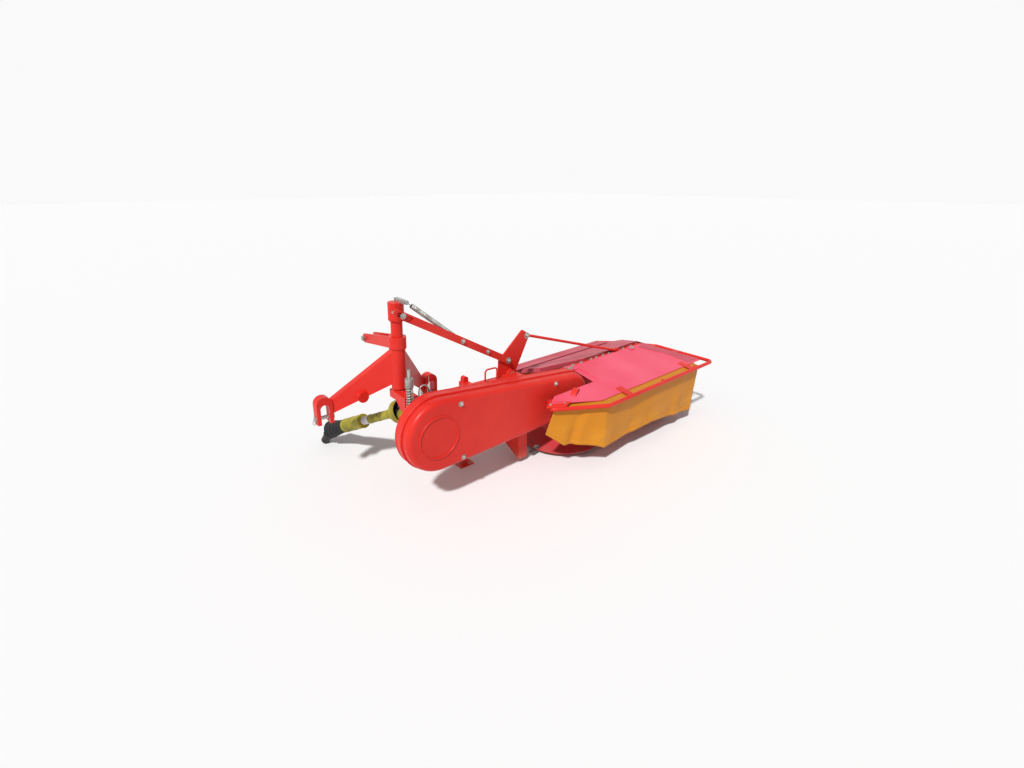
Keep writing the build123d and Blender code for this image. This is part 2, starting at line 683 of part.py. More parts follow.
# Post, its arm and the input shaft
arm_side = ((BEAM_Y1, ARM_Z0), (ARM_KNEE_Y, ARM_Z0), (ARM_RISE_Y, ARM_FRONT_Z0), (ARM_Y1, ARM_FRONT_Z0),
            (ARM_Y1, ARM_Z1), (BEAM_Y1, ARM_Z1))
arm = plate_yz(polygon(arm_side), POST_X - ARM_WIDTH / 2, POST_X + ARM_WIDTH / 2)
arm = fillet(arm.edges().filter_by(Axis.Z).group_by(Axis.Y)[-1], ARM_EDGE)
arm -= rod_z(POST_X, POST_Y, POST_R, POST_FOOT, ARM_Z1)
node("post_arm", FRAME * arm)
node("swing_post", FRAME * rod_z(POST_X, POST_Y, POST_R, POST_FOOT, POST_CAP_Z))
cap = rod_z(POST_X, POST_Y, POST_CAP_R, POST_CAP_Z, POST_TOP)
node("post_cap", FRAME * fillet(cap.edges().group_by(Axis.Z)[-1], SHEET))
LINK_Y1 = LINK_Y0 + LINK_T
cap_cut = rod_z(POST_X, POST_Y, POST_CAP_R, POST_CAP_Z, POST_TOP + SLEEVE_R)
link_peg = rod_y(LINK_PIN[0], LINK_PIN[1], LINK_PIN_R, LINK_Y0 - PLATE, POST_Y)
link_peg += rod_y(LINK_PIN[0], LINK_PIN[1], PIN_HEAD_R, LINK_Y1 + LINK_PEG_GAP, LINK_Y1 + PLATE)
bolt_rear = SPRING_Y - SPRING_BOLT_PAST
bolt_front = SPRING_Y + SPRING_BOLT_PAST
spring_arm = block(SPRING_TOP[0] - SPRING_ARM_HALF, SPRING_TOP[0] + SPRING_ARM_HALF, bolt_front,
                   POST_Y + SPRING_ARM_LAP, POST_TOP, POST_TOP + SPRING_ARM_T)
spring_arm += rod_y(SPRING_TOP[0], SPRING_TOP[1], SPRING_BOLT_R, bolt_rear, bolt_front)
node("post_pegs", FRAME * (link_peg - cap_cut), FRAME * spring_arm)
housing = rod_y(-BELT_CENTRES, 0, INPUT_R, BACK_Y1, INPUT_Y1)
housing += rod_y(-BELT_CENTRES, 0, INPUT_FLANGE_R, BACK_Y1, BACK_Y1 + INPUT_FLANGE_T)
half = SADDLE_WIDTH / 2
saddle = block(-BELT_CENTRES - half, -BELT_CENTRES + half, BEAM_Y0, BEAM_Y1, 0, BEAM_Z0)
node("input_housing", FRAME * (housing + saddle))
shield = rod_y(-BELT_CENTRES, 0, INPUT_R + RUN_GAP + SHIELD_WALL, SHIELD_Y0, SHIELD_Y1)
shield -= rod_y(-BELT_CENTRES, 0, INPUT_R + RUN_GAP, SHIELD_Y0, SHIELD_Y1)
node("input_shield", FRAME * shield)

# Belt tension rod with its spring and cup
tension = rod_z(TENSION_X, TENSION_Y, TENSION_ROD_R, TENSION_Z0, TENSION_TOP)
tension += rod_z(TENSION_X, TENSION_Y, TENSION_CUP_R, TENSION_SPRING_TOP, TENSION_CUP_TOP)
tension += rod_z(TENSION_X, TENSION_Y, TENSION_NUT_R, TENSION_Z0 - PLATE, TENSION_Z0)
node("tension_rod", FRAME * tension)
lug_top = TENSION_LUG_Z + TENSION_LUG_T
tension_coil = coil(TENSION_ROD_R + RUN_GAP, TENSION_SPRING_R, SPRING_WIRE, TENSION_SPRING_TOP - lug_top)
node("tension_spring", FRAME * Pos(TENSION_X, TENSION_Y, lug_top) * tension_coil)

# Handle, skid shoe
handle_top = BEAM_Z1 + HANDLE_RISE
handle = bent_rod([
    (HANDLE_X0, HANDLE_Y, BEAM_Z1), (HANDLE_X0, HANDLE_Y, handle_top),
    (HANDLE_X1, HANDLE_Y, handle_top), (HANDLE_X1, HANDLE_Y, BEAM_Z1)], HANDLE_BEND, HANDLE_R)
node("grab_handle", FRAME * handle)
shoe_side = ((SHOE_REAR, SHOE_Z), (SHOE_FRONT, SHOE_FRONT_Z), (SHOE_FRONT, SHOE_TOP), (SHOE_REAR, SHOE_TOP))
shoe = plate_yz(polygon(shoe_side), SHOE_X0, SHOE_X1)
shoe_inside = ((SHOE_REAR + SHEET, SHOE_Z + SHEET * 2), (SHOE_FRONT + SHEET, SHOE_FRONT_Z + SHEET * 2),
               (SHOE_FRONT + SHEET, SHOE_TOP + SHEET), (SHOE_REAR + SHEET, SHOE_TOP + SHEET))
shoe -= plate_yz(polygon(shoe_inside), SHOE_X0 + SHEET, SHOE_X1 - SHEET)
shoe += block(SHOE_X0, SHOE_X1, BACK_Y1, BACK_Y1 + PLATE, SHOE_FRONT_Z, SHOE_HANGER_TOP)
node("skid_shoe", shoe)

# Parking stand, square in its socket on the beam, with a level foot
bore = STAND_SIDE + 2 * RUN_GAP
wide = bore + 2 * SOCKET_WALL
socket_mid = (SOCKET_Z0 + SOCKET_Z1) / 2
socket = block(STAND_X - wide / 2, STAND_X + wide / 2, BEAM_Y1, STAND_Y + wide / 2, SOCKET_Z0, SOCKET_Z1)
socket -= Pos(STAND_X, STAND_Y, socket_mid) * Box(bore, bore, SOCKET_Z1 - SOCKET_Z0)
node("stand_socket", FRAME * socket)
half = STAND_SIDE / 2
leg = block(STAND_X - half, STAND_X + half, STAND_Y - half, STAND_Y + half, -HINGE_Z - STAND_SIDE, STAND_TOP)
leg = FRAME * fillet(leg.edges().filter_by(Axis.Y).group_by(Axis.Z)[-1], STAND_CROWN_R)
foot_x = on_frame(STAND_X, -HINGE_Z)[0]
under_foot = block(foot_x - STAND_FOOT_LENGTH, foot_x + STAND_FOOT_LENGTH, 0, 2 * STAND_Y,
                   -2 * STAND_SIDE, STAND_FOOT_T / 2)
leg -= under_foot
foot = block(foot_x - STAND_FOOT_LENGTH / 2, foot_x + STAND_FOOT_LENGTH / 2, STAND_Y - STAND_FOOT_WIDTH / 2,
             STAND_Y + STAND_FOOT_WIDTH / 2, 0, STAND_FOOT_T)
node("parking_stand", leg + foot)

# Headstock: sleeve, legs, clevises, pins and the top link cheeks
sleeve = rod_z(POST_X, POST_Y, SLEEVE_R, SLEEVE_Z0, SLEEVE_Z1)
sleeve += rod_z(POST_X, POST_Y, COLLAR_R, COLLAR_Z0, SLEEVE_Z1)
sleeve -= rod_z(POST_X, POST_Y, POST_R + RUN_GAP, SLEEVE_Z0, SLEEVE_Z1)
node("hitch_sleeve", FRAME * sleeve)
sleeve_cut = rod_z(POST_X, POST_Y, SLEEVE_R, SLEEVE_Z0, SLEEVE_Z1)
LOWER_Y = POST_Y + LOWER_FORWARD
TOP_Y = POST_Y + TOP_FORWARD
clevis_inner = LOWER_SPACING / 2 - CLEVIS_WIDTH / 2
legs, clevises, lower_pins = [], [], []
for side in (-1, 1):
    root = Plane.YZ.offset(POST_X + side * LEG_ROOT_X) * Pos(
        POST_Y, (LEG_ROOT_Z0 + LEG_ROOT_Z1) / 2) * Rectangle(LEG_T, LEG_ROOT_Z1 - LEG_ROOT_Z0)
    tip = Plane.YZ.offset(POST_X + side * clevis_inner) * Pos(
        LOWER_Y, (LEG_TIP_Z0 + LEG_TIP_Z1) / 2) * Rectangle(LEG_T, LEG_TIP_Z1 - LEG_TIP_Z0)
    leg = loft([root, tip] if side > 0 else [tip, root]) - sleeve_cut
    if side < 0:
        leg += rod_y(POST_X + BOSS_X, BOSS_Z, BOSS_R, BOSS_Y0, BOSS_Y1)
    legs.append(leg)
    mid = POST_X + side * LOWER_SPACING / 2
    crown = (mid, LOWER_Z + CLEVIS_TOP - CLEVIS_WIDTH / 2)
    arch = taper(crown, CLEVIS_WIDTH / 2, (mid, crown[1] - CLEVIS_WIDTH / 4), CLEVIS_WIDTH / 2)
    arch += Pos(mid, (crown[1] + LOWER_Z - CLEVIS_BELOW) / 2) * Rectangle(
        CLEVIS_WIDTH, crown[1] - LOWER_Z + CLEVIS_BELOW)
    bow = LOWER_Z + CLEVIS_TOP - CLEVIS_ROOF - CLEVIS_OPENING / 2
    below = LOWER_Z - CLEVIS_WIDTH
    arch -= Pos(mid, bow) * Circle(CLEVIS_OPENING / 2)
    arch -= Pos(mid, (bow + below) / 2) * Rectangle(CLEVIS_OPENING, bow - below)
    clevis = plate_xz(arch, LOWER_Y - CLEVIS_LENGTH / 2, LOWER_Y + CLEVIS_LENGTH / 2)
    clevis -= rod_x(LOWER_Y, LOWER_Z, LOWER_PIN_R, mid - CLEVIS_WIDTH, mid + CLEVIS_WIDTH)
    clevises.append(clevis)
    half = CLEVIS_WIDTH / 2
    pin = rod_x(LOWER_Y, LOWER_Z, LOWER_PIN_R, mid - half, mid + half)
    pin += rod_x(LOWER_Y, LOWER_Z, PIN_HEAD_R, mid - half - PIN_HEAD_T, mid - half)
    pin += rod_x(LOWER_Y, LOWER_Z, PIN_HEAD_R, mid + half, mid + half + PIN_HEAD_T)
    lower_pins.append(pin)
node("hitch_leg_left", FRAME * legs[0])
node("hitch_leg_right", FRAME * legs[1])
node("lower_clevises", *[FRAME * clevis for clevis in clevises])
node("lower_pins", *[FRAME * pin for pin in lower_pins])

cheek_mid = (COLLAR_Z0 + SLEEVE_Z1) / 2
cheek_face = taper((POST_Y, cheek_mid), (SLEEVE_Z1 - COLLAR_Z0) / 2, (TOP_Y, TOP_Z), CHEEK_TIP_R)
cheeks = []
for side in (-1, 1):
    inner = POST_X + side * CHEEK_GAP / 2
    outer = inner + side * CHEEK_T
    cheek = plate_yz(cheek_face, min(inner, outer), max(inner, outer))
    cheek -= rod_z(POST_X, POST_Y, COLLAR_R, SLEEVE_Z0, POST_TOP)
    cheek -= block(POST_X - LOWER_SPACING, POST_X + LOWER_SPACING, 0, POST_Y, 0, POST_TOP)
    cheek -= rod_x(TOP_Y, TOP_Z, TOP_BORE_R, POST_X - COLLAR_R, POST_X + COLLAR_R)
    cheeks.append(FRAME * cheek)
node("top_link_cheeks", *cheeks)

# Float linkage
lever = plate_xz(fillet(polygon(LEVER_SHAPE).vertices(), LEVER_CORNER), LEVER_Y0, LEVER_Y1)
lever -= rod_y(LEVER_PIVOT[0], LEVER_PIVOT[1], LEVER_PIVOT_R + PIVOT_GAP, LEVER_Y0, LEVER_Y1)
lever += rod_y(LEVER_PIN[0], LEVER_PIN[1], LINK_PIN_R, LINK_Y0, LEVER_Y0)
ROD_Y0 = LEVER_Y1 + ROD_EYE_GAP
ROD_Y1 = ROD_Y0 + ROD_EYE_T
lever += rod_y(LEVER_TOP[0], LEVER_TOP[1], ROD_PIN_R, LEVER_Y1, ROD_Y1)
node("float_lever", FRAME * lever)

link_run = hypot(LEVER_PIN[0] - LINK_PIN[0], LEVER_PIN[1] - LINK_PIN[1])
link_way = ((LEVER_PIN[0] - LINK_PIN[0]) / link_run, (LEVER_PIN[1] - LINK_PIN[1]) / link_run)


def on_link(share):
    return LINK_PIN[0] + link_way[0] * share, LINK_PIN[1] + link_way[1] * share


link_face = taper(on_link(-LINK_SLOT_BACK - PLATE), LINK_TIP_R, LEVER_PIN, LINK_TIP_R)
slot_r = LINK_PIN_R + LINK_SLOT_GAP
link_face -= taper(on_link(-LINK_SLOT_BACK), slot_r, on_link(LINK_SLOT_AHEAD), slot_r)
link = plate_xz(link_face, LINK_Y0, LINK_Y1)
link -= rod_y(LEVER_PIN[0], LEVER_PIN[1], LINK_PIN_R + PIVOT_GAP, LINK_Y0, LINK_Y1)
SPRING_END = on_link(link_run * SPRING_SHARE)
link += rod_y(SPRING_END[0], SPRING_END[1], SPRING_BOLT_R, LINK_Y1, SPRING_Y + SPRING_BOLT_PAST)
node("float_link", FRAME * link)

lever_top = on_frame(*LEVER_TOP)
rod_start = (lever_top[0], (ROD_Y0 + ROD_Y1) / 2, lever_top[1])
rod_place, rod_length = along(rod_start, ROD_END)
rod_bar = rod_place * (Pos(0, 0, rod_length / 2) * Cylinder(ROD_R, rod_length))
eye_near = rod_y(rod_start[0], rod_start[2], ROD_EYE_R, ROD_Y0, ROD_Y1)
eye_far = rod_y(ROD_END[0], ROD_END[2], ROD_EYE_R, ROD_END[1] - ROD_EYE_T / 2, ROD_END[1] + ROD_EYE_T / 2)
eye_inner = ROD_EYE_R - SHEET
tie_rod = rod_bar
tie_rod -= rod_y(rod_start[0], rod_start[2], eye_inner, ROD_Y0 - PLATE, ROD_Y1 + PLATE)
tie_rod -= rod_y(ROD_END[0], ROD_END[2], eye_inner, ROD_END[1] - 2 * PLATE, ROD_END[1] + 2 * PLATE)
tie_rod += eye_near
tie_rod += eye_far
tie_rod -= rod_y(rod_start[0], rod_start[2], ROD_PIN_R + PIVOT_GAP, ROD_Y0, ROD_Y1)
tie_rod -= rod_y(ROD_END[0], ROD_END[2], ROD_PIN_R + ROD_SLACK, ROD_END[1] - PLATE, ROD_END[1] + PLATE)
node("tie_rod", tie_rod)
ear_gap = ROD_EYE_T / 2 + ROD_BRACKET_GAP
ear_face = taper((ROD_END[0], ROD_END[2]), ROD_EYE_R - SHEET, (ROD_END[0], GEAR_Z1), ROD_EYE_R)
ear_face -= Pos(ROD_END[0], GEAR_Z1 - ROD_BRACKET_LENGTH) * Rectangle(
    ROD_BRACKET_LENGTH * 4, ROD_BRACKET_LENGTH * 2)
bracket = rod_y(ROD_END[0], ROD_END[2], ROD_PIN_R, ROD_END[1] - ear_gap - ROD_BRACKET_T,
                ROD_END[1] + ear_gap + ROD_BRACKET_T)
for side in (-1, 1):
    ends = sorted((ROD_END[1] + side * ear_gap, ROD_END[1] + side * (ear_gap + ROD_BRACKET_T)))
    bracket += plate_xz(ear_face, ends[0], ends[1])
node("rod_bracket", bracket)

spring_place, spring_length = along((SPRING_TOP[0], SPRING_Y, SPRING_TOP[1]),
                                    (SPRING_END[0], SPRING_Y, SPRING_END[1]))
coil_length = spring_length - 2 * SPRING_HOOK
spring_coil = Pos(0, 0, SPRING_HOOK) * coil(SPRING_WIRE, SPRING_R, SPRING_WIRE, coil_length)
stem = Pos(0, 0, spring_length / 2) * Cylinder(SPRING_WIRE - STEM_GAP, spring_length)
hooks = spring_place * stem
for x, z in (SPRING_TOP, SPRING_END):
    hooks += rod_y(x, z, SPRING_BOLT_R + SPRING_WIRE, SPRING_Y - SPRING_WIRE, SPRING_Y + SPRING_WIRE)
    hooks -= rod_y(x, z, SPRING_BOLT_R, SPRING_Y - SPRING_R * 2, SPRING_Y + SPRING_R * 2)
node("relief_spring", FRAME * spring_place * spring_coil, FRAME * hooks)

# Drive shaft
cross_x, cross_z = on_frame(-BELT_CENTRES, 0)
CROSS = (cross_x, CROSS_Y, cross_z)
flat_run = hypot(PTO_TOWARD[0] - cross_x, PTO_TOWARD[1] - CROSS_Y)
pto_way = ((PTO_TOWARD[0] - cross_x) / flat_run, (PTO_TOWARD[1] - CROSS_Y) / flat_run)
bend = radians(END_YOKE_BEND)
reach_along = OUTER_CROSS + END_YOKE_LENGTH * cos(bend) - PTO_YOKE_HUB_R * sin(bend)
reach_down = END_YOKE_LENGTH * sin(bend) + PTO_YOKE_HUB_R * cos(bend)
droop = asin(cross_z / hypot(reach_along, reach_down)) - atan2(reach_down, reach_along)
pto_z = Vector(pto_way[0] * cos(droop), pto_way[1] * cos(droop), -sin(droop))
FRAME_X = Vector(cos(radians(LEAN)), 0, -sin(radians(LEAN)))
pto_x = (FRAME_X - pto_z * FRAME_X.dot(pto_z)).normalized()
PTO = Location(Plane(origin=CROSS, x_dir=pto_x, z_dir=pto_z))


def fork_yoke(start, hub_end, cross):
    """Hub with two ears that reach past the cross, along Z."""
    way = 1 if cross > start else -1
    hub = rod_z(0, 0, PTO_YOKE_HUB_R, min(start, hub_end), max(start, hub_end))
    ears = []
    for side in (-1, 1):
        ear = plate_yz(taper((0, hub_end), YOKE_EAR_WIDTH / 2, (0, cross), YOKE_EAR_WIDTH / 2),
                       PTO_YOKE_R - YOKE_EAR_T, PTO_YOKE_R)
        ears.append(Rot(0, 0, 90 - 90 * side) * ear)
    web_end = hub_end + way * YOKE_EAR_T
    web = rod_z(0, 0, PTO_YOKE_R, min(hub_end, web_end), max(hub_end, web_end))
    return hub + web + ears[0] + ears[1]


stub_end = CROSS_Y - YOKE_LENGTH - STUB_R
stub = rod_y(-BELT_CENTRES, 0, STUB_R, INPUT_Y1, stub_end)
INPUT_YOKE = Pos(-BELT_CENTRES, CROSS_Y, 0) * Rot(-90, 0, 0)
input_yoke = INPUT_YOKE * fork_yoke(stub_end - CROSS_Y, -YOKE_LENGTH, 0)
yoke_x0 = -BELT_CENTRES - PTO_YOKE_R
yoke_x1 = -BELT_CENTRES + PTO_YOKE_R
input_yoke -= rod_x(CROSS_Y, 0, CROSS_R + PIVOT_GAP, yoke_x0, yoke_x1)
node("input_yoke", FRAME * (stub + input_yoke))
inner_yoke = Rot(0, 0, 90) * fork_yoke(YOKE_LENGTH + YOKE_HUB_LENGTH, YOKE_LENGTH, 0)
inner_yoke += rod_z(0, 0, PTO_BAND_R - SHEET, YOKE_LENGTH + YOKE_HUB_LENGTH, PTO_TUBE_END)
inner_yoke += rod_y(0, 0, CROSS_R, -PTO_YOKE_R, PTO_YOKE_R)
cross_pin = rod_x(CROSS_Y, 0, CROSS_R, yoke_x0, yoke_x1)
node("shaft_inner_yoke", PTO * inner_yoke + FRAME * cross_pin)
cone_inner = PTO_CONE_R - PTO_CONE_WALL
cone = turned((
    (PTO_TUBE_R, PTO_CONE_END), (PTO_CONE_R, PTO_CONE_SKIRT), (PTO_CONE_R, -PTO_CONE_BACK),
    (cone_inner, -PTO_CONE_BACK), (cone_inner, PTO_CONE_SKIRT), (PTO_TUBE_R - PTO_CONE_WALL, PTO_CONE_END)))
node("shaft_cone", PTO * cone)
tube = turned(((PTO_BAND_R - SHEET, PTO_CONE_END), (PTO_TUBE_R, PTO_CONE_END), (PTO_TUBE_R, PTO_TUBE_END),
               (PTO_BAND_R - SHEET, PTO_TUBE_END)))
node("shaft_tube", PTO * tube)
node("shaft_band", PTO * rod_z(0, 0, PTO_BAND_R, PTO_TUBE_END, PTO_BAND_END))
node("shaft_outer_tube", PTO * rod_z(0, 0, PTO_OUTER_R, PTO_BAND_END, PTO_OUTER_END))
bell_floor = PTO_OUTER_END + BELL_NECK
bell_end = OUTER_CROSS - BELL_SHORT
bell = turned((
    (0, PTO_OUTER_END), (PTO_OUTER_R - SHEET, PTO_OUTER_END), (PTO_OUTER_R - SHEET, bell_floor),
    (PTO_BELL_R, bell_end), (PTO_BELL_R - PTO_CONE_WALL, bell_end), (PTO_YOKE_HUB_R, bell_floor),
    (0, bell_floor)))
node("shaft_bell", PTO * bell)
driven = fork_yoke(bell_floor, OUTER_CROSS - YOKE_LENGTH, OUTER_CROSS)
driven -= rod_x(0, OUTER_CROSS, CROSS_R + PIVOT_GAP, -PTO_YOKE_R, PTO_YOKE_R)
node("shaft_outer_yoke", PTO * driven)
end_yoke = Rot(0, 0, 90) * fork_yoke(END_YOKE_LENGTH, YOKE_LENGTH, 0)
end_yoke += rod_y(0, 0, CROSS_R, -PTO_YOKE_R, PTO_YOKE_R)
end_yoke += rod_x(0, 0, CROSS_R, -PTO_YOKE_R, PTO_YOKE_R)
end_yoke -= rod_z(0, 0, PTO_BORE_R, END_YOKE_LENGTH - YOKE_BORE_DEPTH, END_YOKE_LENGTH)
END_YOKE = PTO * Pos(0, 0, OUTER_CROSS) * Rot(-END_YOKE_BEND, 0, 0)
node("shaft_end_yoke", END_YOKE * end_yoke)

# Centre the whole on its foot print and write it out
boxes = [shape.bounding_box() for shape in nodes.values()]
low = [min(getattr(b.min, axis) for b in boxes) for axis in "XYZ"]
high = [max(getattr(b.max, axis) for b in boxes) for axis in "XYZ"]
CENTRE = ((low[0] + high[0]) / 2, (low[1] + high[1]) / 2, low[2])
os.makedirs("parts", exist_ok=True)
for name, shape in nodes.items():
    export_step(Pos(-CENTRE[0], -CENTRE[1], -CENTRE[2]) * shape, f"parts/{name}.step")
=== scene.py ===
import json
import bpy
import bmesh
import numpy as np
from math import radians
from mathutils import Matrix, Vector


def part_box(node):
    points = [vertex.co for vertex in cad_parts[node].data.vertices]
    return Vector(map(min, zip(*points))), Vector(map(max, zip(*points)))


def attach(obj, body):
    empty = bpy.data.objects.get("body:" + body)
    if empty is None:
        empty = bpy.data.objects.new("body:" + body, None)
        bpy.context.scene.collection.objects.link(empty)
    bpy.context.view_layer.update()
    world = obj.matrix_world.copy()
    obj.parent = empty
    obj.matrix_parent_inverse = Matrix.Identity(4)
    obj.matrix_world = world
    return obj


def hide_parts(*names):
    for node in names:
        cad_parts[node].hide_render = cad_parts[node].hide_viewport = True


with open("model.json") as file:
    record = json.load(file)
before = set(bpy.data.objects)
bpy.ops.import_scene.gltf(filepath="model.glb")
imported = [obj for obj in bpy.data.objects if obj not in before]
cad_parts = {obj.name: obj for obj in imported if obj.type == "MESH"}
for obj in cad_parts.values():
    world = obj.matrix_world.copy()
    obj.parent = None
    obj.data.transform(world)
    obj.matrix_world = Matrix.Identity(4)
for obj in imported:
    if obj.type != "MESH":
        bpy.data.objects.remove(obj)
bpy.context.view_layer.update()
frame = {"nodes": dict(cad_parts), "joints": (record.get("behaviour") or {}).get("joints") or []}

# Belt guard: a dished cover of pressed sheet bolted over a tray, both sprayed red before they meet.
# The tray's edge is rolled to a bead, the cover sits inside it with a narrow groove all round, and
# a ring is pressed into its face round the belt wheel.
drum_low, drum_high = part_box("drum_left")
LEFT_DRUM = np.array([(drum_low.x + drum_high.x) / 2, (drum_low.y + drum_high.y) / 2, 0.0])
LEAN = radians(2.9)
HINGE_X, HINGE_Z = -166, 480
NOSE_X, NOSE_R, BELLY_R, GUARD_SPAN = 70, 171, 245, 1176
BEAD_OUT = 5
WHEEL_X, FACE_RING_R, FACE_RING_Y = -1131, 140, -199.5
ACROSS = (0, 1, 0)
RED = (0.640, 0.018, 0.011, 1)
RED_FADED = (0.710, 0.034, 0.022, 1)
PRIMER = (0.130, 0.052, 0.040, 1)
DUST = (0.330, 0.230, 0.150, 1)


def level(points):
    """Millimetres from the left drum's axis on the ground, as metres of the row."""
    return np.asarray(points, float) / 1000 + LEFT_DRUM


def leaning(points):
    """Millimetres in the frame, which leans: a turn about Y, then a shift to the cutter hinge."""
    x, y, z = np.moveaxis(np.asarray(points, float), -1, 0)
    c, s = np.cos(LEAN), np.sin(LEAN)
    return level(np.stack([x * c + z * s + HINGE_X, y, z * c - x * s + HINGE_Z], -1))


def full_turn(count):
    """Angles of a full turn in even steps, without the last, which closes it."""
    return np.linspace(0, 2 * np.pi, count, endpoint=False)


def add(tree, kind, inputs, **settings):
    """One shader node, its settings set and its inputs given a number, a colour or a socket."""
    made = tree.nodes.new("ShaderNode" + kind)
    for key, value in settings.items():
        setattr(made, key, value)
    for key, value in inputs.items():
        if isinstance(value, bpy.types.NodeSocket):
            tree.links.new(value, made.inputs[key])
        else:
            made.inputs[key].default_value = value
    return made


def combine(tree, how, a, b):
    """Two numbers or sockets through one Math node, by the operation named."""
    return add(tree, "Math", {0: a, 1: b}, operation=how).outputs[0]


def times(tree, a, b):
    """Product of two numbers or sockets."""
    return combine(tree, "MULTIPLY", a, b)


def ramp(tree, value, low, high, to_low, to_high):
    """Value carried evenly from the range low to high onto another range, and held at its ends."""
    return add(tree, "MapRange", {0: value, 1: low, 2: high, 3: to_low, 4: to_high}).outputs[0]


def noise(tree, where, scale, detail):
    """Cloudy noise about one half, at a scale in lumps per metre."""
    return add(tree, "TexNoise", {"Vector": where, "Scale": scale, "Detail": detail}).outputs[0]


def grain(tree, where, scale, detail, low, high):
    """Noise stretched so that low becomes nought and high becomes one."""
    return ramp(tree, noise(tree, where, scale, detail), low, high, 0.0, 1.0)


def tinted(tree, share, under, over):
    """Colour under, covered by the colour over to the share given."""
    return add(tree, "Mix", {0: share, 6: under, 7: over}, data_type="RGBA").outputs[2]


def blank(name):
    """New node material, with its tree and its shader."""
    made = bpy.data.materials.new(name)
    made.use_nodes = True
    return made, made.node_tree, made.node_tree.nodes["Principled BSDF"]


def emboss(tree, shader, strength, distance, height):
    """Bump of a height in metres on the shader's normal."""
    bump = add(tree, "Bump", {"Strength": strength, "Distance": distance, "Height": height})
    tree.links.new(bump.outputs[0], shader.inputs["Normal"])


def enamel(name, colour, faded, gloss, soil_top):
    """Sprayed enamel: broad fading, chips to the primer, dust that thickens downwards from the height
    soil_top, and a fine orange peel."""
    made, tree, shader = blank(name)
    where = add(tree, "TexCoord", {}).outputs["Object"]
    height = add(tree, "SeparateXYZ", {0: where}).outputs[2]
    low = ramp(tree, height, soil_top, 0.0, 0.0, 1.0)
    dusty = times(tree, low, grain(tree, where, 9.0, 6.0, 0.40, 0.72))
    chips = grain(tree, where, 46.0, 7.0, 0.705, 0.735)
    chips = times(tree, chips, grain(tree, where, 3.1, 2.0, 0.52, 0.60))
    colours = tinted(tree, grain(tree, where, 2.4, 5.0, 0.36, 0.70), colour, faded)
    colours = tinted(tree, chips, colours, PRIMER)
    colours = tinted(tree, dusty, colours, DUST)
    tree.links.new(colours, shader.inputs["Base Color"])
    worn = ramp(tree, grain(tree, where, 6.0, 6.0, 0.3, 0.8), 0.0, 1.0, gloss, gloss + 0.16)
    rough = combine(tree, "ADD", worn, times(tree, dusty, 0.45))
    tree.links.new(rough, shader.inputs["Roughness"])
    peel = noise(tree, where, 210.0, 2.0)
    emboss(tree, shader, 0.16, 0.0012, combine(tree, "ADD", peel, times(tree, chips, -0.9)))
    shader.inputs["Specular IOR Level"].default_value = 0.22
    shader.inputs["Coat Weight"].default_value = 0.06
    shader.inputs["Coat Roughness"].default_value = 0.2
    return made


red_enamel = enamel("red_enamel", RED, RED_FADED, 0.33, 0.14)


def dress(names, finish):
    """Give each named node its finish."""
    for name in names:
        frame["nodes"][name].data.materials[0] = finish


def surface(name, grids, finish, body, sharp=40):
    """Mesh of grids of points, closed the second way: a quad between four neighbours, poles merged
    shut, and edges sharper than the angle given kept crisp."""
    points, quads, first = [], [], 0
    for grid in grids:
        rows, sides = grid.shape[:2]
        i = np.arange(rows - 1)[:, None] * sides + first
        j = np.arange(sides)[None, :]
        k = (j + 1) % sides
        quads.append(np.stack([i + j, i + sides + j, i + sides + k, i + k], -1).reshape(-1, 4))
        points.append(grid.reshape(-1, 3))
        first += rows * sides
    mesh = bpy.data.meshes.new(name)
    mesh.from_pydata(np.concatenate(points).tolist(), [], np.concatenate(quads).tolist())
    shell = bmesh.new()
    shell.from_mesh(mesh)
    bmesh.ops.remove_doubles(shell, verts=shell.verts, dist=1e-5)
    bmesh.ops.recalc_face_normals(shell, faces=shell.faces)
    shell.to_mesh(mesh)
    shell.free()
    mesh.shade_smooth()
    mesh.set_sharp_from_angle(angle=radians(sharp))
    mesh.materials.append(finish)
    piece = bpy.data.objects.new(name, mesh)
    bpy.context.scene.collection.objects.link(piece)
    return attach(piece, body)


def bar(path, radius, up=(0, 0, 1), sides=12, closed=False):
    """Round bar: at each point of the path a circle square to it, its first way the cross product of
    tangent and up. An open bar's ends are drawn shut."""
    path = np.asarray(path, float)
    way = np.roll(path, -1, 0) - np.roll(path, 1, 0) if closed else np.gradient(path, axis=0)
    way = way / np.linalg.norm(way, axis=1, keepdims=True)
    side = np.cross(way, up)
    side = side / np.linalg.norm(side, axis=1, keepdims=True)
    over = np.cross(side, way)
    turn = full_turn(sides)[:, None]
    wide = np.broadcast_to(radius, len(path))[:, None, None]
    rings = path[:, None] + wide * (np.cos(turn) * side[:, None] + np.sin(turn) * over[:, None])
    if closed:
        return np.concatenate([rings, rings[:1]])
    ends = np.repeat(path[[0, -1]][:, None], sides, axis=1)
    return np.concatenate([ends[:1], rings, ends[1:]])


def guard_line(grow, y):
    """Guard outline: an arc round the nose and a larger one round the belly, joined by their common
    tangents, all moved out by grow."""
    open_angle = np.arccos((BELLY_R - NOSE_R) / GUARD_SPAN)
    nose = np.linspace(-open_angle, open_angle, 70)
    belly = np.linspace(open_angle, 2 * np.pi - open_angle, 90)
    x = np.concatenate([NOSE_X + (NOSE_R + grow) * np.cos(nose),
                        NOSE_X - GUARD_SPAN + (BELLY_R + grow) * np.cos(belly)])
    z = np.concatenate([(NOSE_R + grow) * np.sin(nose), (BELLY_R + grow) * np.sin(belly)])
    return leaning(np.stack([x, np.full_like(x, y), z], -1))


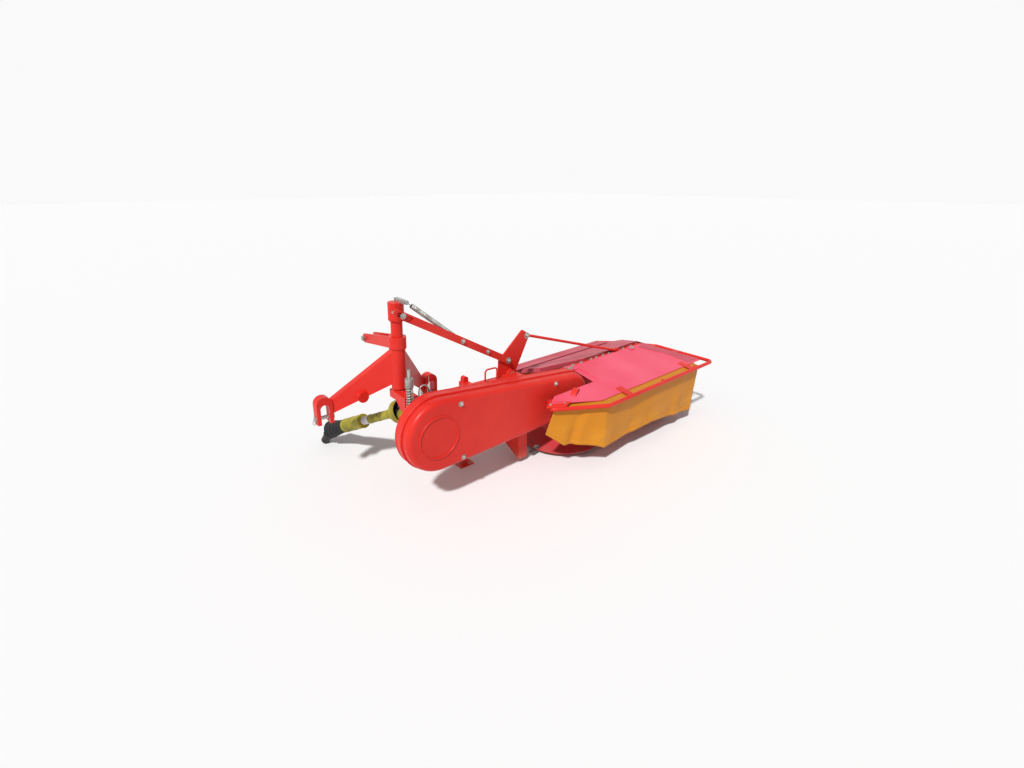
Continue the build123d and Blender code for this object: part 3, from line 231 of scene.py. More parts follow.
def face_circle(x, y, z, radius, count):
    """Circle in the plane of the guard's face, in the leaning frame."""
    turn = full_turn(count)
    round_x, round_z = x + radius * np.cos(turn), z + radius * np.sin(turn)
    return leaning(np.stack([round_x, np.full(count, float(y)), round_z], -1))


face_ring = face_circle(WHEEL_X, FACE_RING_Y, 0, FACE_RING_R, 160)
surface("guard_beads", [bar(guard_line(BEAD_OUT, -121), 0.006, ACROSS, 12, True),
                        bar(guard_line(BEAD_OUT, -57), 0.0045, ACROSS, 10, True),
                        bar(face_ring, 0.0055, ACROSS, 12, True)], red_enamel, "frame")
dress(("belt_guard", "guard_back_plate"), red_enamel)

# Guard bolts: zinc hexagon screws on plain washers, run into nuts that are welded inside the tray.
# Two sit at the belly's top and bottom, and two at the nose.
ZINC = (0.520, 0.515, 0.490, 1)
ZINC_DULL = (0.300, 0.290, 0.265, 1)
RUST = (0.150, 0.070, 0.035, 1)
COVER_FACE_Y, GUARD_SCREW = -198, 19
FLATS_SHARP = 25
REARWARD = leaning((0, -1, 0)) - leaning((0, 0, 0))


def metal(name, bright, dull, rough, metallic):
    """Plated or bare steel: cloudy brightness, fine scuffs along one way, and brown bloom."""
    made, tree, shader = blank(name)
    where = add(tree, "TexCoord", {}).outputs["Object"]
    cloud = grain(tree, where, 24.0, 6.0, 0.35, 0.68)
    bloom = times(tree, grain(tree, where, 60.0, 6.0, 0.60, 0.74), 0.55)
    colours = tinted(tree, bloom, tinted(tree, cloud, bright, dull), RUST)
    tree.links.new(colours, shader.inputs["Base Color"])
    tree.links.new(ramp(tree, cloud, 0.0, 1.0, rough, rough + 0.2), shader.inputs["Roughness"])
    drawn = add(tree, "Mapping", {0: where, 3: (40.0, 40.0, 400.0)}).outputs[0]
    emboss(tree, shader, 0.2, 0.0006, noise(tree, drawn, 6.0, 3.0))
    shader.inputs["Metallic"].default_value = metallic
    return made


zinc = metal("zinc_plate", ZINC, ZINC_DULL, 0.34, 0.85)


def hex_head(centre, axis, across):
    """Screw head: washer, six flats and a chamfer. Each row is a radius, a height and the share of a
    hexagon's polar radius in it, all but the last times the width across the flats."""
    rows = np.array([(0.0, -0.1, 0), (0.95, -0.1, 0), (0.95, 0.10, 0), (0.90, 0.13, 0), (0.5, 0.13, 1),
                     (0.5, 0.62, 1), (0.47, 0.72, 0.3), (0.30, 0.75, 0), (0.0, 0.75, 0)])
    turn = full_turn(36)[None, :]
    flats = 1 / np.cos(np.mod(turn, np.pi / 3) - np.pi / 6)
    radius = rows[:, :1] * (1 + rows[:, 2:] * (flats - 1)) * across / 1000
    axis = np.asarray(axis, float) / np.linalg.norm(axis)
    skew = (0.31, 0.17, 0.93)
    side = np.cross(axis, skew)
    side /= np.linalg.norm(side)
    over = np.cross(axis, side)
    rise = rows[:, 1, None, None] * across / 1000 * axis
    round_way = np.cos(turn)[..., None] * side + np.sin(turn)[..., None] * over
    return np.asarray(centre) + rise + radius[..., None] * round_way


def screws(name, heads, body):
    """Zinc screw heads on one body, as one piece with crisp flats."""
    return surface(name, heads, zinc, body, FLATS_SHARP)


guard_spots = ((-970, 188), (-948, -196), (-124, 140), (-124, -138))
screws("guard_screws", [hex_head(leaning((x, COVER_FACE_Y, z)), REARWARD, GUARD_SCREW)
                        for x, z in guard_spots], "frame")

# Main frame: box beam, hinge fork, struts, post arm and swing post, of plate and tube, sprayed red.
# Weld beads show as low rippled rings where the post stands in its arm and where its cap is set on.
POST_X, POST_Y, POST_R = -1140, 280, 40
ARM_TOP_Z, CAP_FOOT_Z = 169, 646
POST_UP = (0.05, 0, 1)
RIPPLES, RIPPLE_SHARE = 60, 0.16
ROUND_SHARP = 60


def weld_ring(z, radius, width):
    """Weld bead: a circle about the post whose round section swells and shrinks with each ripple."""
    turn = full_turn(180)
    round_x, round_y = POST_X + radius * np.cos(turn), POST_Y + radius * np.sin(turn)
    path = leaning(np.stack([round_x, round_y, np.full_like(turn, z)], -1))
    thick = width / 1000 * (1 + RIPPLE_SHARE * np.sin(turn * RIPPLES))
    return bar(path, thick, POST_UP, 10, True)


dress(("main_beam", "guard_struts", "hinge_fork", "post_arm", "swing_post", "post_cap", "stand_socket",
       "skid_shoe", "grab_handle", "input_housing", "parking_stand"), red_enamel)
surface("post_welds", [weld_ring(ARM_TOP_Z, POST_R, 6), weld_ring(CAP_FOOT_Z, POST_R, 5)],
        red_enamel, "frame", ROUND_SHARP)

# Lock pin of the beam: a bent wire grip over a sprung pin, with its thin upright wire beside it.
# It is plated wire, pushed through a bushing in the beam's top wall.
GRIP_X, GRIP_Y, GRIP_Z = -1079, 70, 216
GRIP_HALF, GRIP_RISE = 34, 36
BUSHING_Z = 158
grip_turn = np.linspace(np.pi, 0, 40)
grip = np.stack([GRIP_X + GRIP_HALF * np.cos(grip_turn), np.full(40, float(GRIP_Y)),
                 GRIP_Z + GRIP_RISE * np.sin(grip_turn)], -1)
pin_leg = [(GRIP_X - GRIP_HALF, GRIP_Y, BUSHING_Z), (GRIP_X - GRIP_HALF, GRIP_Y, 186)]
loose_end = [(GRIP_X + GRIP_HALF, GRIP_Y, 205), (GRIP_X + GRIP_HALF - 1, GRIP_Y, 196)]
grip = np.concatenate([pin_leg, grip, loose_end])
upright = np.linspace((-1036, 72, BUSHING_Z), (-1036, 72, 306), 12)
surface("lock_pin", [bar(leaning(grip), 0.005, ACROSS), bar(leaning(upright), 0.0028, ACROSS, 8)],
        zinc, "frame")

# Belt tension rod: a threaded steel rod through a lug on the beam's end, with a coil under a cup.
# The coil is plated spring wire of 8 mm with its end turns closed and ground flat.
TENSION_FOOT, TENSION_LENGTH = (-1192, 48, 124), 144
TENSION_R, TENSION_TURNS = 20, 9.5


def helix(base, way, length, radius, turns, closed_turns, points):
    """Spring wire: a circle of the radius carried along the way, slow over the closed end turns and
    even between them."""
    base, way = np.asarray(base, float), np.asarray(way, float)
    count = np.linspace(0, turns, points)
    knots = [0, closed_turns, turns - closed_turns, turns]
    rise = np.interp(count, knots, [0, 0.04, 0.96, 1]) * length
    side = np.cross(way, (0, 1, 0.02))
    side /= np.linalg.norm(side)
    over = np.cross(way, side)
    turn = 2 * np.pi * count[:, None]
    radius = np.broadcast_to(radius, len(count))[:, None]
    return base + rise[:, None] * way + radius * (np.cos(turn) * side + np.sin(turn) * over)


tension_wire = leaning(helix(TENSION_FOOT, (0, 0, 1), TENSION_LENGTH, TENSION_R, TENSION_TURNS, 1, 420))
coil = surface("tension_coil", [bar(tension_wire, 0.004, POST_UP, 10)],
               zinc, "frame", ROUND_SHARP)
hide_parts("tension_spring")
dress(("tension_rod",), zinc)

# Relief spring: a long close wound extension spring from the arm on the post's cap to the float link.
# It is grey spring wire, and each end runs out straight into an eye round its bolt.
SPRING_Y = 166.0
spring_top, spring_end = np.array((-1121.0, SPRING_Y, 775.0)), np.array((-722.2, SPRING_Y, 474.6))
COIL_R, COIL_TURNS, COIL_POINTS = 14.5, 88, 1900
COIL_WIRE, EYE_WIRE, EYE_R = 0.0025, 0.0028, 10.5
BARE_TOP, BARE_END = 14, 28
EYE_REACH, TOP_STEM, END_STEM = 11, 18, 32
spring_length = np.linalg.norm(spring_end - spring_top)
spring_way = (spring_end - spring_top) / spring_length
from_top = np.linspace(0, COIL_TURNS, COIL_POINTS)
taper = np.minimum(1, np.minimum(from_top, COIL_TURNS - from_top) / 1.5 + 0.05)
relief = helix(spring_top + BARE_TOP * spring_way, spring_way, spring_length - BARE_TOP - BARE_END,
               COIL_R * taper, COIL_TURNS, 0.5, COIL_POINTS)
eyes = [face_circle(x, SPRING_Y, z, EYE_R, 48) for x, _, z in (spring_top, spring_end)]
stem_ends = ((spring_top + EYE_REACH * spring_way, spring_top + TOP_STEM * spring_way),
             (spring_end - END_STEM * spring_way, spring_end - EYE_REACH * spring_way))
stems = [leaning(np.linspace(start, end, 8)) for start, end in stem_ends]
relief_wires = [bar(leaning(relief), COIL_WIRE, spring_way, 8)]
relief_wires += [bar(eye, EYE_WIRE, ACROSS, 8, True) for eye in eyes]
relief_wires += [bar(stem, EYE_WIRE, ACROSS, 8) for stem in stems]
relief_coil = surface("relief_coil", relief_wires, zinc, "frame", ROUND_SHARP)
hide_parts("relief_spring")
dress(("post_pegs",), zinc)

# Float linkage: lever, link and tie rod, flame cut from plate or drawn as bar, sprayed red.
# Plated screws and nuts hold their pivots, with a spare one half way down the link, and a thin plate
# on the post backs the link's slot.
PEG_X, PEG_Z = -1173, 706
ROD_EYE_X, ROD_EYE_Z = 738, 597
SLOT_PLATE_HALF, SLOT_PLATE_T = 23, 1.4
PLATE_SHARP = 30
dress(("float_lever", "float_link", "tie_rod", "rod_bracket"), red_enamel)
screws("lever_screws", [hex_head(leaning((-118, 150, 424)), REARWARD, 26)], "lever")
screws("link_screws", [hex_head(leaning((x, 135, z)), REARWARD, size)
                       for x, z, size in ((-306, 261, 26), (-722, 475, 19), (-503, 364, 17))], "link")
screws("pivot_screws", [hex_head(leaning((-279, 120, 144)), REARWARD, 30),
                        hex_head(leaning((PEG_X, 123, PEG_Z)), REARWARD, 20)], "frame")


def plate(one_edge, other_edge, thick, place=level):
    """Sheet between two edges in millimetres: a closed section at each pair of points, its back moved
    by thick, with both ends drawn shut."""
    one, other = np.asarray(one_edge, float), np.asarray(other_edge, float)
    middle, back = (one + other) / 2, np.asarray(thick, float)
    loops = np.stack([one, middle, other, other + back, middle + back, one + back], 1)
    ends = np.repeat(loops.mean(1, keepdims=True)[[0, -1]], 6, axis=1)
    return place(np.concatenate([ends[:1], loops, ends[1:]]))


link_way, link_side = np.array((0.890, 0, -0.457)), np.array((0.457, 0, 0.890))
slot_ends = np.array((PEG_X, 148.4, PEG_Z)) + np.array((-34, 98))[:, None] * link_way
slot_half = SLOT_PLATE_HALF * link_side
surface("wear_plate", [plate(slot_ends + slot_half, slot_ends - slot_half, (0, SLOT_PLATE_T, 0), leaning)],
        red_enamel, "frame", PLATE_SHARP)
screws("rod_screws", [hex_head(level((ROD_EYE_X, y, ROD_EYE_Z)), (0, way, 0), 18)
                      for y, way in ((7, -1), (63, 1))], "cutter")

# Headstock: sleeve, two plate legs with forked ends for the lower links, two cheeks for the top link.
# All is welded and sprayed red; the pins are plated, and a spring ring hangs at each lower pin's end.
SLEEVE_TOP_Z, SLEEVE_R = 464, 51
LOWER_HALF, LOWER_Y, LOWER_Z = 412.5, 590, -43
PIN_OUT, PIN_HEAD, RING_GAP = 55, 10, 3
RING_R, RING_DROP, RING_TWIST = 21, 19, 5
TOP_Y, TOP_Z, TOP_HALF, TOP_HEAD = 680.0, 440.0, 56, 8
dress(("hitch_sleeve", "hitch_leg_left", "hitch_leg_right", "lower_clevises", "top_link_cheeks"),
      red_enamel)
dress(("lower_pins",), zinc)
surface("sleeve_welds", [weld_ring(SLEEVE_TOP_Z, SLEEVE_R, 6)],
        red_enamel, "headstock", ROUND_SHARP)


def pin_ring(x, y, z):
    """Spring ring on a pin's end: a circle of round wire that hangs from it, twisted a little."""
    turn = full_turn(56)
    path = np.stack([x + RING_TWIST * np.sin(turn * 2), y + RING_R * np.cos(turn),
                     z - RING_DROP + RING_R * np.sin(turn)], -1)
    return bar(leaning(path), 0.0024, (1, 0, 0), 8, True)


pin_start, pin_end = POST_X - TOP_HALF, POST_X + TOP_HALF
top_pin = np.linspace((pin_start, TOP_Y, TOP_Z), (pin_end, TOP_Y, TOP_Z), 9)
top_head = [(pin_start - TOP_HEAD, TOP_Y, TOP_Z), (pin_start, TOP_Y, TOP_Z)]
surface("top_link_pin", [bar(leaning(top_pin), 0.0122, (0, 0, 1), 24),
                         bar(leaning(top_head), 0.018, (0, 0, 1), 24)], zinc, "headstock")
ring_out = LOWER_HALF + PIN_OUT + PIN_HEAD + RING_GAP
surface("pin_rings", [pin_ring(POST_X + side * ring_out, LOWER_Y, LOWER_Z) for side in (-1, 1)],
        zinc, "headstock", ROUND_SHARP)

# Gear beam, gearbox and drum necks: a cast and welded case, sprayed red, that carries drums and hood.
# Plated screws hold its top rail, a red strip on packers in the gap between the two hood sheets.
RAIL_Z, RAIL_T, RAIL_REAR, RAIL_FRONT = 592, 7, 12, 64
PACKER_Z, PACKER_T, PACKER_HALF, PACKER_REAR, PACKER_FRONT = 586, 22, 12, 22, 56
RAIL_SCREW, RAIL_SCREW_Y = 17, 40
dress(("gear_beam", "drum_necks", "gearbox"), red_enamel)


def slab(x0, x1, y0, y1, z, thick):
    """Flat strip by its ends, its sides, its upper face and how thick it is below that."""
    return plate([(x0, y0, z), (x1, y0, z)], [(x0, y1, z), (x1, y1, z)], (0, 0, -thick))


rails = [slab(x0, x1, RAIL_REAR, RAIL_FRONT, RAIL_Z, RAIL_T) for x0, x1 in ((-55, 688), (790, 1040))]
packers = [slab(x - PACKER_HALF, x + PACKER_HALF, PACKER_REAR, PACKER_FRONT, PACKER_Z, PACKER_T)
           for x in (-30, 160, 350, 520, 670, 810, 1010)]
surface("gear_rail", rails + packers, red_enamel, "cutter")
screws("gear_screws", [hex_head(level((x, RAIL_SCREW_Y, RAIL_Z)), (0, 0, 1), RAIL_SCREW)
                       for x in (-30, 75, 160, 259, 384, 448, 540, 620, 820, 935)], "cutter")

# Hood: folded steel sheets that fall to a bent tube rim, sprayed red; the pink of their paint is a painted
# reflection of the bright sky.
# Straps with screws hold the rear sheet to the gear beam, rivets close its left corner, and thin lips
# and laps are folded or screwed on where the sheets meet.
# The hood's pink is a painted reflection: its red paint is set lighter and pinker than the frame's, as if
# the bright sky showed in it.
HOOD = (0.760, 0.066, 0.122, 1)
HOOD_FADED = (0.830, 0.105, 0.175, 1)
# The two darker hood colours below are painted shade: the hood paint made darker for the sheets that slope
# away from the light.
HOOD_SHADED = (0.500, 0.062, 0.092, 1)
HOOD_SHADED_FADED = (0.600, 0.115, 0.150, 1)
SLOPE, FRONT_SLOPE = radians(9.5), radians(13.5)
SHEET_UP = (0, -np.sin(SLOPE), np.cos(SLOPE))
REAR_FOOT_Y, REAR_FOOT_Z, SHEET_T = -500, 520, 4
REAR_TOP_Y, REAR_TOP_Z = -475, 524.2
FRONT_EDGE_Y, FRONT_TOP_Z = 418, 522
STRAP_RUN, STRAP_OVER, STRAP_SCREW, RIVET = 486, 8, 15, 10
EAR_START, EAR_END = (-225, 185, 0), (-120, 238, 0)
EAR_RISE, EAR_HALF, EAR_HALF_T = 0.026, 0.021, 0.0035
hood_enamel = enamel("hood_enamel", HOOD, HOOD_FADED, 0.36, 0.30)
# The second hood enamel below is a darker copy of the hood paint: painted shade for the front and end
# sheets and their lip, flap and lap.
hood_painted_shade = enamel("hood_painted_shade", HOOD_SHADED, HOOD_SHADED_FADED, 0.44, 0.30)
dress(("hood_rear_sheet", "hood_straps"), hood_enamel)
dress(("hood_front_sheet", "hood_end_sheets"), hood_painted_shade)
dress(("hood_rim",), red_enamel)


def on_rear_sheet(x, run, over):
    """Place on the rear sheet: run up its slope from the rear edge, and over its upper face."""
    over = over + SHEET_T * np.cos(SLOPE)
    y = REAR_FOOT_Y + run * np.cos(SLOPE) - over * np.sin(SLOPE)
    return level((x, y, REAR_FOOT_Z + run * np.sin(SLOPE) + over * np.cos(SLOPE)))


screws("strap_screws", [hex_head(on_rear_sheet(x, STRAP_RUN, STRAP_OVER), SHEET_UP, STRAP_SCREW)
                        for x in (48, 72, 848, 872)], "cutter")
screws("corner_rivets", [hex_head(level(spot), (-0.3, -0.3, 1), RIVET)
                         for spot in ((-447, -313, 547), (-351, -356, 544))], "cutter")


def sheet_ear():
    """Ear on the sheet's left edge: a strip bent to a low arch, an ellipse section carried along half
    a sine wave."""
    share = np.linspace(0, 1, 26)
    start, end = on_rear_sheet(*EAR_START), on_rear_sheet(*EAR_END)
    arch = np.outer(EAR_RISE * np.sin(np.pi * share), SHEET_UP)
    path = start + share[:, None] * (end - start) + arch
    turn = full_turn(20)[None, :, None]
    side = np.cross((end - start) / np.linalg.norm(end - start), SHEET_UP)
    wide = EAR_HALF * np.cos(turn) * side
    thick = EAR_HALF_T * np.sin(turn) * np.asarray(SHEET_UP)
    ends = np.repeat(path[[0, -1]][:, None], 20, axis=1)
    return np.concatenate([ends[:1], path[:, None] + wide + thick, ends[1:]])


surface("sheet_ear", [sheet_ear()], red_enamel, "cutter", ROUND_SHARP)


def front_line(plan, over):
    """Line over the front sheet: its height rises from the front edge with the sheet's slope."""
    plan = np.asarray(plan, float)
    z = FRONT_TOP_Z + over + (FRONT_EDGE_Y - plan[:, 1:]) * np.tan(FRONT_SLOPE)
    return np.concatenate([plan, z], -1)


def rear_line(plan, over):
    """Line over the rear sheet: its height rises from the rear edge with the sheet's slope."""
    plan = np.asarray(plan, float)
    z = REAR_TOP_Z + over + (plan[:, 1:] - REAR_TOP_Y) * np.tan(SLOPE)
    return np.concatenate([plan, z], -1)


def hood_plates(name, plates, finish):
    """Thin plates of the hood as one piece, in the hood's paint."""
    return surface(name, plates, finish, "cutter", PLATE_SHARP)


side_edge, ridge_edge = ((-148, 414), (-60, 200), (330, 70)), ((330, 70), (1063, 70))
hood_plates("sheet_lip", [plate(front_line(side_edge, 3), front_line(side_edge, -32), (-2.5, -2.5, 0)),
                          plate(front_line(ridge_edge, 3), front_line(ridge_edge, -10), (0, 3, 0))],
            hood_painted_shade)
flap_creases = ((346, 551), (416, 535), (464, 534), (486, 531))
flap = [np.linspace((-196, y, z), (985, y, z), 5) for y, z in flap_creases]
hood_plates("front_flap", [plate(near, far, (0, 0, -2.5)) for near, far in zip(flap[:-1], flap[1:])],
            hood_painted_shade)
lap_inner = rear_line(((945, -35), (1071, -242), (1108, -452)), 6.5)
lap_outer = rear_line(((1066, 0), (1172, -242), (1262, -452)), 6.5)
hood_plates("end_lap", [plate(lap_inner, lap_outer, (0, 0, -2.3))], hood_painted_shade)
flange_left = rear_line(((80, -256), (80, -46)), -0.4)
flange_right = rear_line(((178, -256), (168, -46)), -0.4)
hood_plates("notch_flange", [plate(flange_left, flange_right, (0, 0, -3))], hood_enamel)
tip_inner = rear_line(np.linspace((-425, -300), (-300, -372), 8), 6.5)
tip_outer = np.linspace((-490, -312, 532.5), (-365, -385, 532.5), 8)
surface("tip_plate", [plate(tip_inner, tip_outer, (0, 0, -3))],
        red_enamel, "cutter", PLATE_SHARP)

# Curtain: yellow coated tarpaulin in three lengths, clipped under the sheets' edge inside the rim.
# It is cut plain, hemmed along the bottom, and hangs in straight panels between creases, with the
# left end of the rear length flared.
# The cloth keeps its first colour at the top and turns to the paler second one further down: painted shade
# in the band under the rim, painted sunlight below.
TARP = (0.555, 0.200, 0.009, 1)
TARP_PAINTED_SUNLIT = (0.660, 0.265, 0.016, 1)
SPLASH = (0.300, 0.200, 0.090, 1)
HANG_Z, RIM_INSET = 513, 29
STRIP, DROP_ROWS = 54, 330
CLOTH_T, HEM_PROUD, HEM_ROWS = 0.0012, 1.6, 4


def tarpaulin():
    """Coated cloth by its own UV in metres: a fine scrim under the coat, soft creases, painted sunlight
    that makes the lower part paler below a band of painted shade under the rim, and splashes at the hem."""
    made, tree, shader = blank("curtain_tarpaulin")
    where = add(tree, "UVMap", {}, uv_map="cut").outputs[0]
    down = add(tree, "SeparateXYZ", {0: where}).outputs[1]
    # Painted light: paler from 0.10 m to 0.34 m below the top, painted sunlight under the rim's painted
    # shade.
    pale = ramp(tree, down, 0.10, 0.34, 0.0, 1.0)
    pale = times(tree, pale, grain(tree, where, 5.0, 5.0, 0.30, 0.72))
    splash = ramp(tree, down, 0.22, 0.42, 0.0, 0.8)
    splash = times(tree, splash, grain(tree, where, 22.0, 7.0, 0.56, 0.74))
    colours = tinted(tree, splash, tinted(tree, pale, TARP, TARP_PAINTED_SUNLIT), SPLASH)
    tree.links.new(colours, shader.inputs["Base Color"])
    threads = {"Vector": where, "Scale": 62.8, "Distortion": 0.4}
    warp = add(tree, "TexWave", threads, bands_direction="X").outputs[1]
    weft = add(tree, "TexWave", threads, bands_direction="Y").outputs[1]
    scrim = combine(tree, "MAXIMUM", warp, weft)
    weave = add(tree, "Bump", {"Strength": 0.25, "Distance": 0.0004, "Height": scrim}).outputs[0]
    lumps = {"Vector": where, "Scale": 13.0, "Detail": 4.0, "Distortion": 0.8}
    crease = add(tree, "TexNoise", lumps).outputs[0]
    folds = {"Strength": 0.35, "Distance": 0.006, "Height": crease, "Normal": weave}
    tree.links.new(add(tree, "Bump", folds).outputs[0], shader.inputs["Normal"])
    shader.inputs["Roughness"].default_value = 0.5
    shader.inputs["Specular IOR Level"].default_value = 0.25
    return made


cloth = tarpaulin()


def pair_interp(at, known, values):
    """Two columns of values read off together at places along what is known."""
    return np.stack([np.interp(at, known, values[:, 0]), np.interp(at, known, values[:, 1])], -1)


def run_along(points):
    """Distance of each point from the first, along the line through them."""
    return np.concatenate([[0], np.cumsum(np.linalg.norm(np.diff(points, axis=0), axis=1))])


def curtain_line(corners, shares):
    """Plan of the hang line inside the rim, its corners rounded by averaging, its inward way and its
    length. Shares a little outside nought to one run straight on past the ends."""
    corners = np.asarray(corners, float)
    runs = run_along(corners)
    plan = pair_interp(np.linspace(0, runs[-1], 800), runs, corners)
    window = 11
    ahead = plan[:1] + (plan[:1] - plan[1:2]) * np.arange(window // 2, 0, -1)[:, None]
    after = plan[-1:] + (plan[-1:] - plan[-2:-1]) * np.arange(1, window // 2 + 1)[:, None]
    whole = np.concatenate([ahead, plan, after])
    even = np.ones(window) / window
    plan = np.stack([np.convolve(whole[:, i], even, "valid") for i in (0, 1)], -1)
    way = np.gradient(plan, axis=0)
    way /= np.linalg.norm(way, axis=1, keepdims=True)
    inward = np.stack([-way[:, 1], way[:, 0]], -1)
    plan = plan + RIM_INSET * inward
    along = run_along(plan)
    place = np.clip(shares, -0.05, 1.05) * along[-1]
    inside = np.clip(place, 0, along[-1])
    inward = pair_interp(inside, along, inward)
    tangent = np.stack([inward[..., 1], -inward[..., 0]], -1)
    at = pair_interp(inside, along, plan) + (place - inside)[..., None] * tangent
    return at, inward, along[-1]


def curtain_cloth(corners, bottom, fold, lean_start, lean_end, sheet_z, first_row, proud):
    """Hung cloth: from under the sheet's edge out to the hang line, then down to the hem. Folds are
    straight panels between creases that open with depth, with two fine sine wrinkles of about 1 mm;
    lean_start and lean_end slide the ends along the length as the cloth falls."""
    share = np.linspace(0, 1, 260)
    rows = np.concatenate([[0, 12, 24, 36, 46, 51], STRIP + DROP_ROWS * np.linspace(0, 1, 34) ** 1.1])
    depth_share = np.clip((rows - STRIP) / DROP_ROWS, 0, 1)[:, None]
    length = curtain_line(corners, share)[2]
    slide = (lean_start * (1 - share) + lean_end * share)[None, :] / length * depth_share
    plan, inward, _ = curtain_line(corners, share[None, :] + slide)
    fall = depth_share * (HANG_Z - np.interp(share, bottom[0], bottom[1])[None, :])
    run = share[None, :] * length
    creased = np.pad(np.interp(share, *fold), 3, "edge")
    panels = np.convolve(creased, np.ones(7) / 7, "valid")[None, :]
    wrinkle = 1.1 * np.sin(fall / 24 + run / 130) + 0.9 * np.sin(run / 41 + fall / 60)
    out = panels * depth_share ** 0.8 + wrinkle * depth_share + proud
    strip = np.clip(STRIP - rows, 0, None)[:, None]
    spot = plan + (strip - out)[..., None] * inward
    under = np.clip(strip / STRIP, 0, 1)
    rise = (sheet_z(spot[..., 0], spot[..., 1]) - HANG_Z) * under ** 1.5
    grid = np.concatenate([spot, (HANG_Z - fall + rise)[..., None]], -1)
    cut_down = np.minimum(rows, STRIP)[:, None] + fall
    cut = np.stack([np.broadcast_to(run, fall.shape), cut_down], -1) / 1000
    return level(grid)[first_row:], cut[first_row:], length


def cloth_piece(name, grid, cut):
    """Open sheet of quads from a grid, with its cut plan as UV in metres, thickened to the cloth."""
    rows, sides = grid.shape[:2]
    i, j = np.arange(rows - 1)[:, None] * sides, np.arange(sides - 1)[None, :]
    quads = np.stack([i + j, i + j + 1, i + sides + j + 1, i + sides + j], -1)
    quads = quads.reshape(-1, 4)[:, ::-1]
    mesh = bpy.data.meshes.new(name)
    mesh.from_pydata(grid.reshape(-1, 3).tolist(), [], quads.tolist())
    corner = np.zeros(len(mesh.loops), np.int32)
    mesh.loops.foreach_get("vertex_index", corner)
    cut_plan = cut.reshape(-1, 2)[corner].astype(np.float32)
    mesh.uv_layers.new(name="cut").data.foreach_set("uv", cut_plan.ravel())
    mesh.shade_smooth()
    mesh.materials.append(cloth)
    piece = bpy.data.objects.new(name, mesh)
    bpy.context.scene.collection.objects.link(piece)
    wall = piece.modifiers.new("thickness", "SOLIDIFY")
    wall.thickness = CLOTH_T
    wall.offset = 0
    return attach(piece, "cutter")


def under_rear(x, y):
    """Height just under the rear sheet."""
    return 518 + (y - REAR_FOOT_Y) * np.tan(SLOPE)


def under_front(x, y):
    """Height just under the front sheet."""
    return 520 + (FRONT_EDGE_Y - y) * np.tan(FRONT_SLOPE)


def under_end(x, y):
    """Height of the hang line, where no sheet slopes down to the rim."""
    return np.full_like(x, float(HANG_Z))


# Columns: node, corners of the plan, hem heights by share of the length, folds out by share of the
# length, slide of the first and the last end, height under the sheet.
curtains = (
    ("curtain_rear", ((-426, -346.5), (-87, -551), (1160, -551)),
     ((0, 0.089, 0.153, 0.238, 0.274, 0.47, 0.638, 1.0), (308, 200, 202, 177, 157, 158, 177, 96)),
     ((0, 0.085, 0.12, 0.15, 0.20, 0.27, 0.36, 0.47, 0.50, 0.638, 0.80, 0.86, 0.90, 1.0),
      (6, 4, -24, 14, 2, 9, -6, -20, -8, 9, -6, 9, -9, 2)), -66, -48, under_rear),
    ("curtain_right", ((1335, 30), (1150, 315), (995, 467), (950, 467)), ((0, 1), (150, 140)),
     ((0, 0.2, 0.45, 0.6, 0.8, 1), (0, 7, -7, 6, -6, 0)), 0, 0, under_end),
    ("curtain_front", ((948, 467), (-209, 467)), ((0, 0.5, 1), (140, 152, 140)),
     ((0, 0.12, 0.25, 0.33, 0.5, 0.62, 0.7, 0.88, 1), (0, 8, -8, 3, -9, 8, -4, 7, 0)),
     0, 0, under_front),
)
for name, *hang in curtains:
    grid, cut, length = curtain_cloth(*hang, 0, 0)
    piece = cloth_piece(name.replace("curtain", "tarpaulin"), grid, cut)
    hem_grid, hem_cut, _ = curtain_cloth(*hang, -HEM_ROWS, HEM_PROUD)
    hem = cloth_piece(name.replace("curtain", "hem"), hem_grid, hem_cut)
    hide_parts(name)

# Drums, discs and sliding dishes: pressed steel, sprayed red outside, rubbed and muddy at the knives.
# Each disc carries three swinging knives of spring steel, with a nut on the disc's upper face.
DISC_RED = (0.520, 0.038, 0.050, 1)
DISC_FADED = (0.600, 0.065, 0.072, 1)
DISC_R, DISC_EDGE_Z, DRUM_FOOT_R, DRUM_FOOT_Z = 350, 44, 155, 98
DRUM_SPACING = 815
KNIFE_COUNT, KNIFE_NUT, NUT_FROM_EDGE = 3, 24, 16
disc_enamel = enamel("disc_enamel", DISC_RED, DISC_FADED, 0.40, 0.07)
dish_steel = metal("dish_steel", (0.330, 0.300, 0.270, 1), (0.160, 0.120, 0.090, 1), 0.42, 0.8)
knife_steel = metal("knife_steel", (0.420, 0.410, 0.400, 1), (0.220, 0.190, 0.160, 1), 0.36, 0.9)
disc_slope = np.arctan2(DRUM_FOOT_Z - DISC_EDGE_Z, DISC_R - DRUM_FOOT_R)
nut_z = DISC_EDGE_Z + NUT_FROM_EDGE * np.tan(disc_slope)
nut_out = (DISC_R - NUT_FROM_EDGE) / 1000
for side, drum_x, first_knife in (("left", 0, 190), ("right", DRUM_SPACING, 50)):
    dress(("drum_" + side,), disc_enamel)
    dress(("slide_dish_" + side,), dish_steel)
    dress(("knives_" + side,), knife_steel)
    nuts = []
    for turn in np.radians(first_knife + np.arange(KNIFE_COUNT) * 360 / KNIFE_COUNT):
        out = np.array((np.cos(turn), np.sin(turn), 0))
        up_disc = np.sin(disc_slope) * out + (0, 0, np.cos(disc_slope))
        nuts.append(hex_head(level((drum_x, 0, nut_z)) + nut_out * out, up_disc, KNIFE_NUT))
    surface("knife_nuts_" + side, nuts, knife_steel, side + "_drum", FLATS_SHARP)

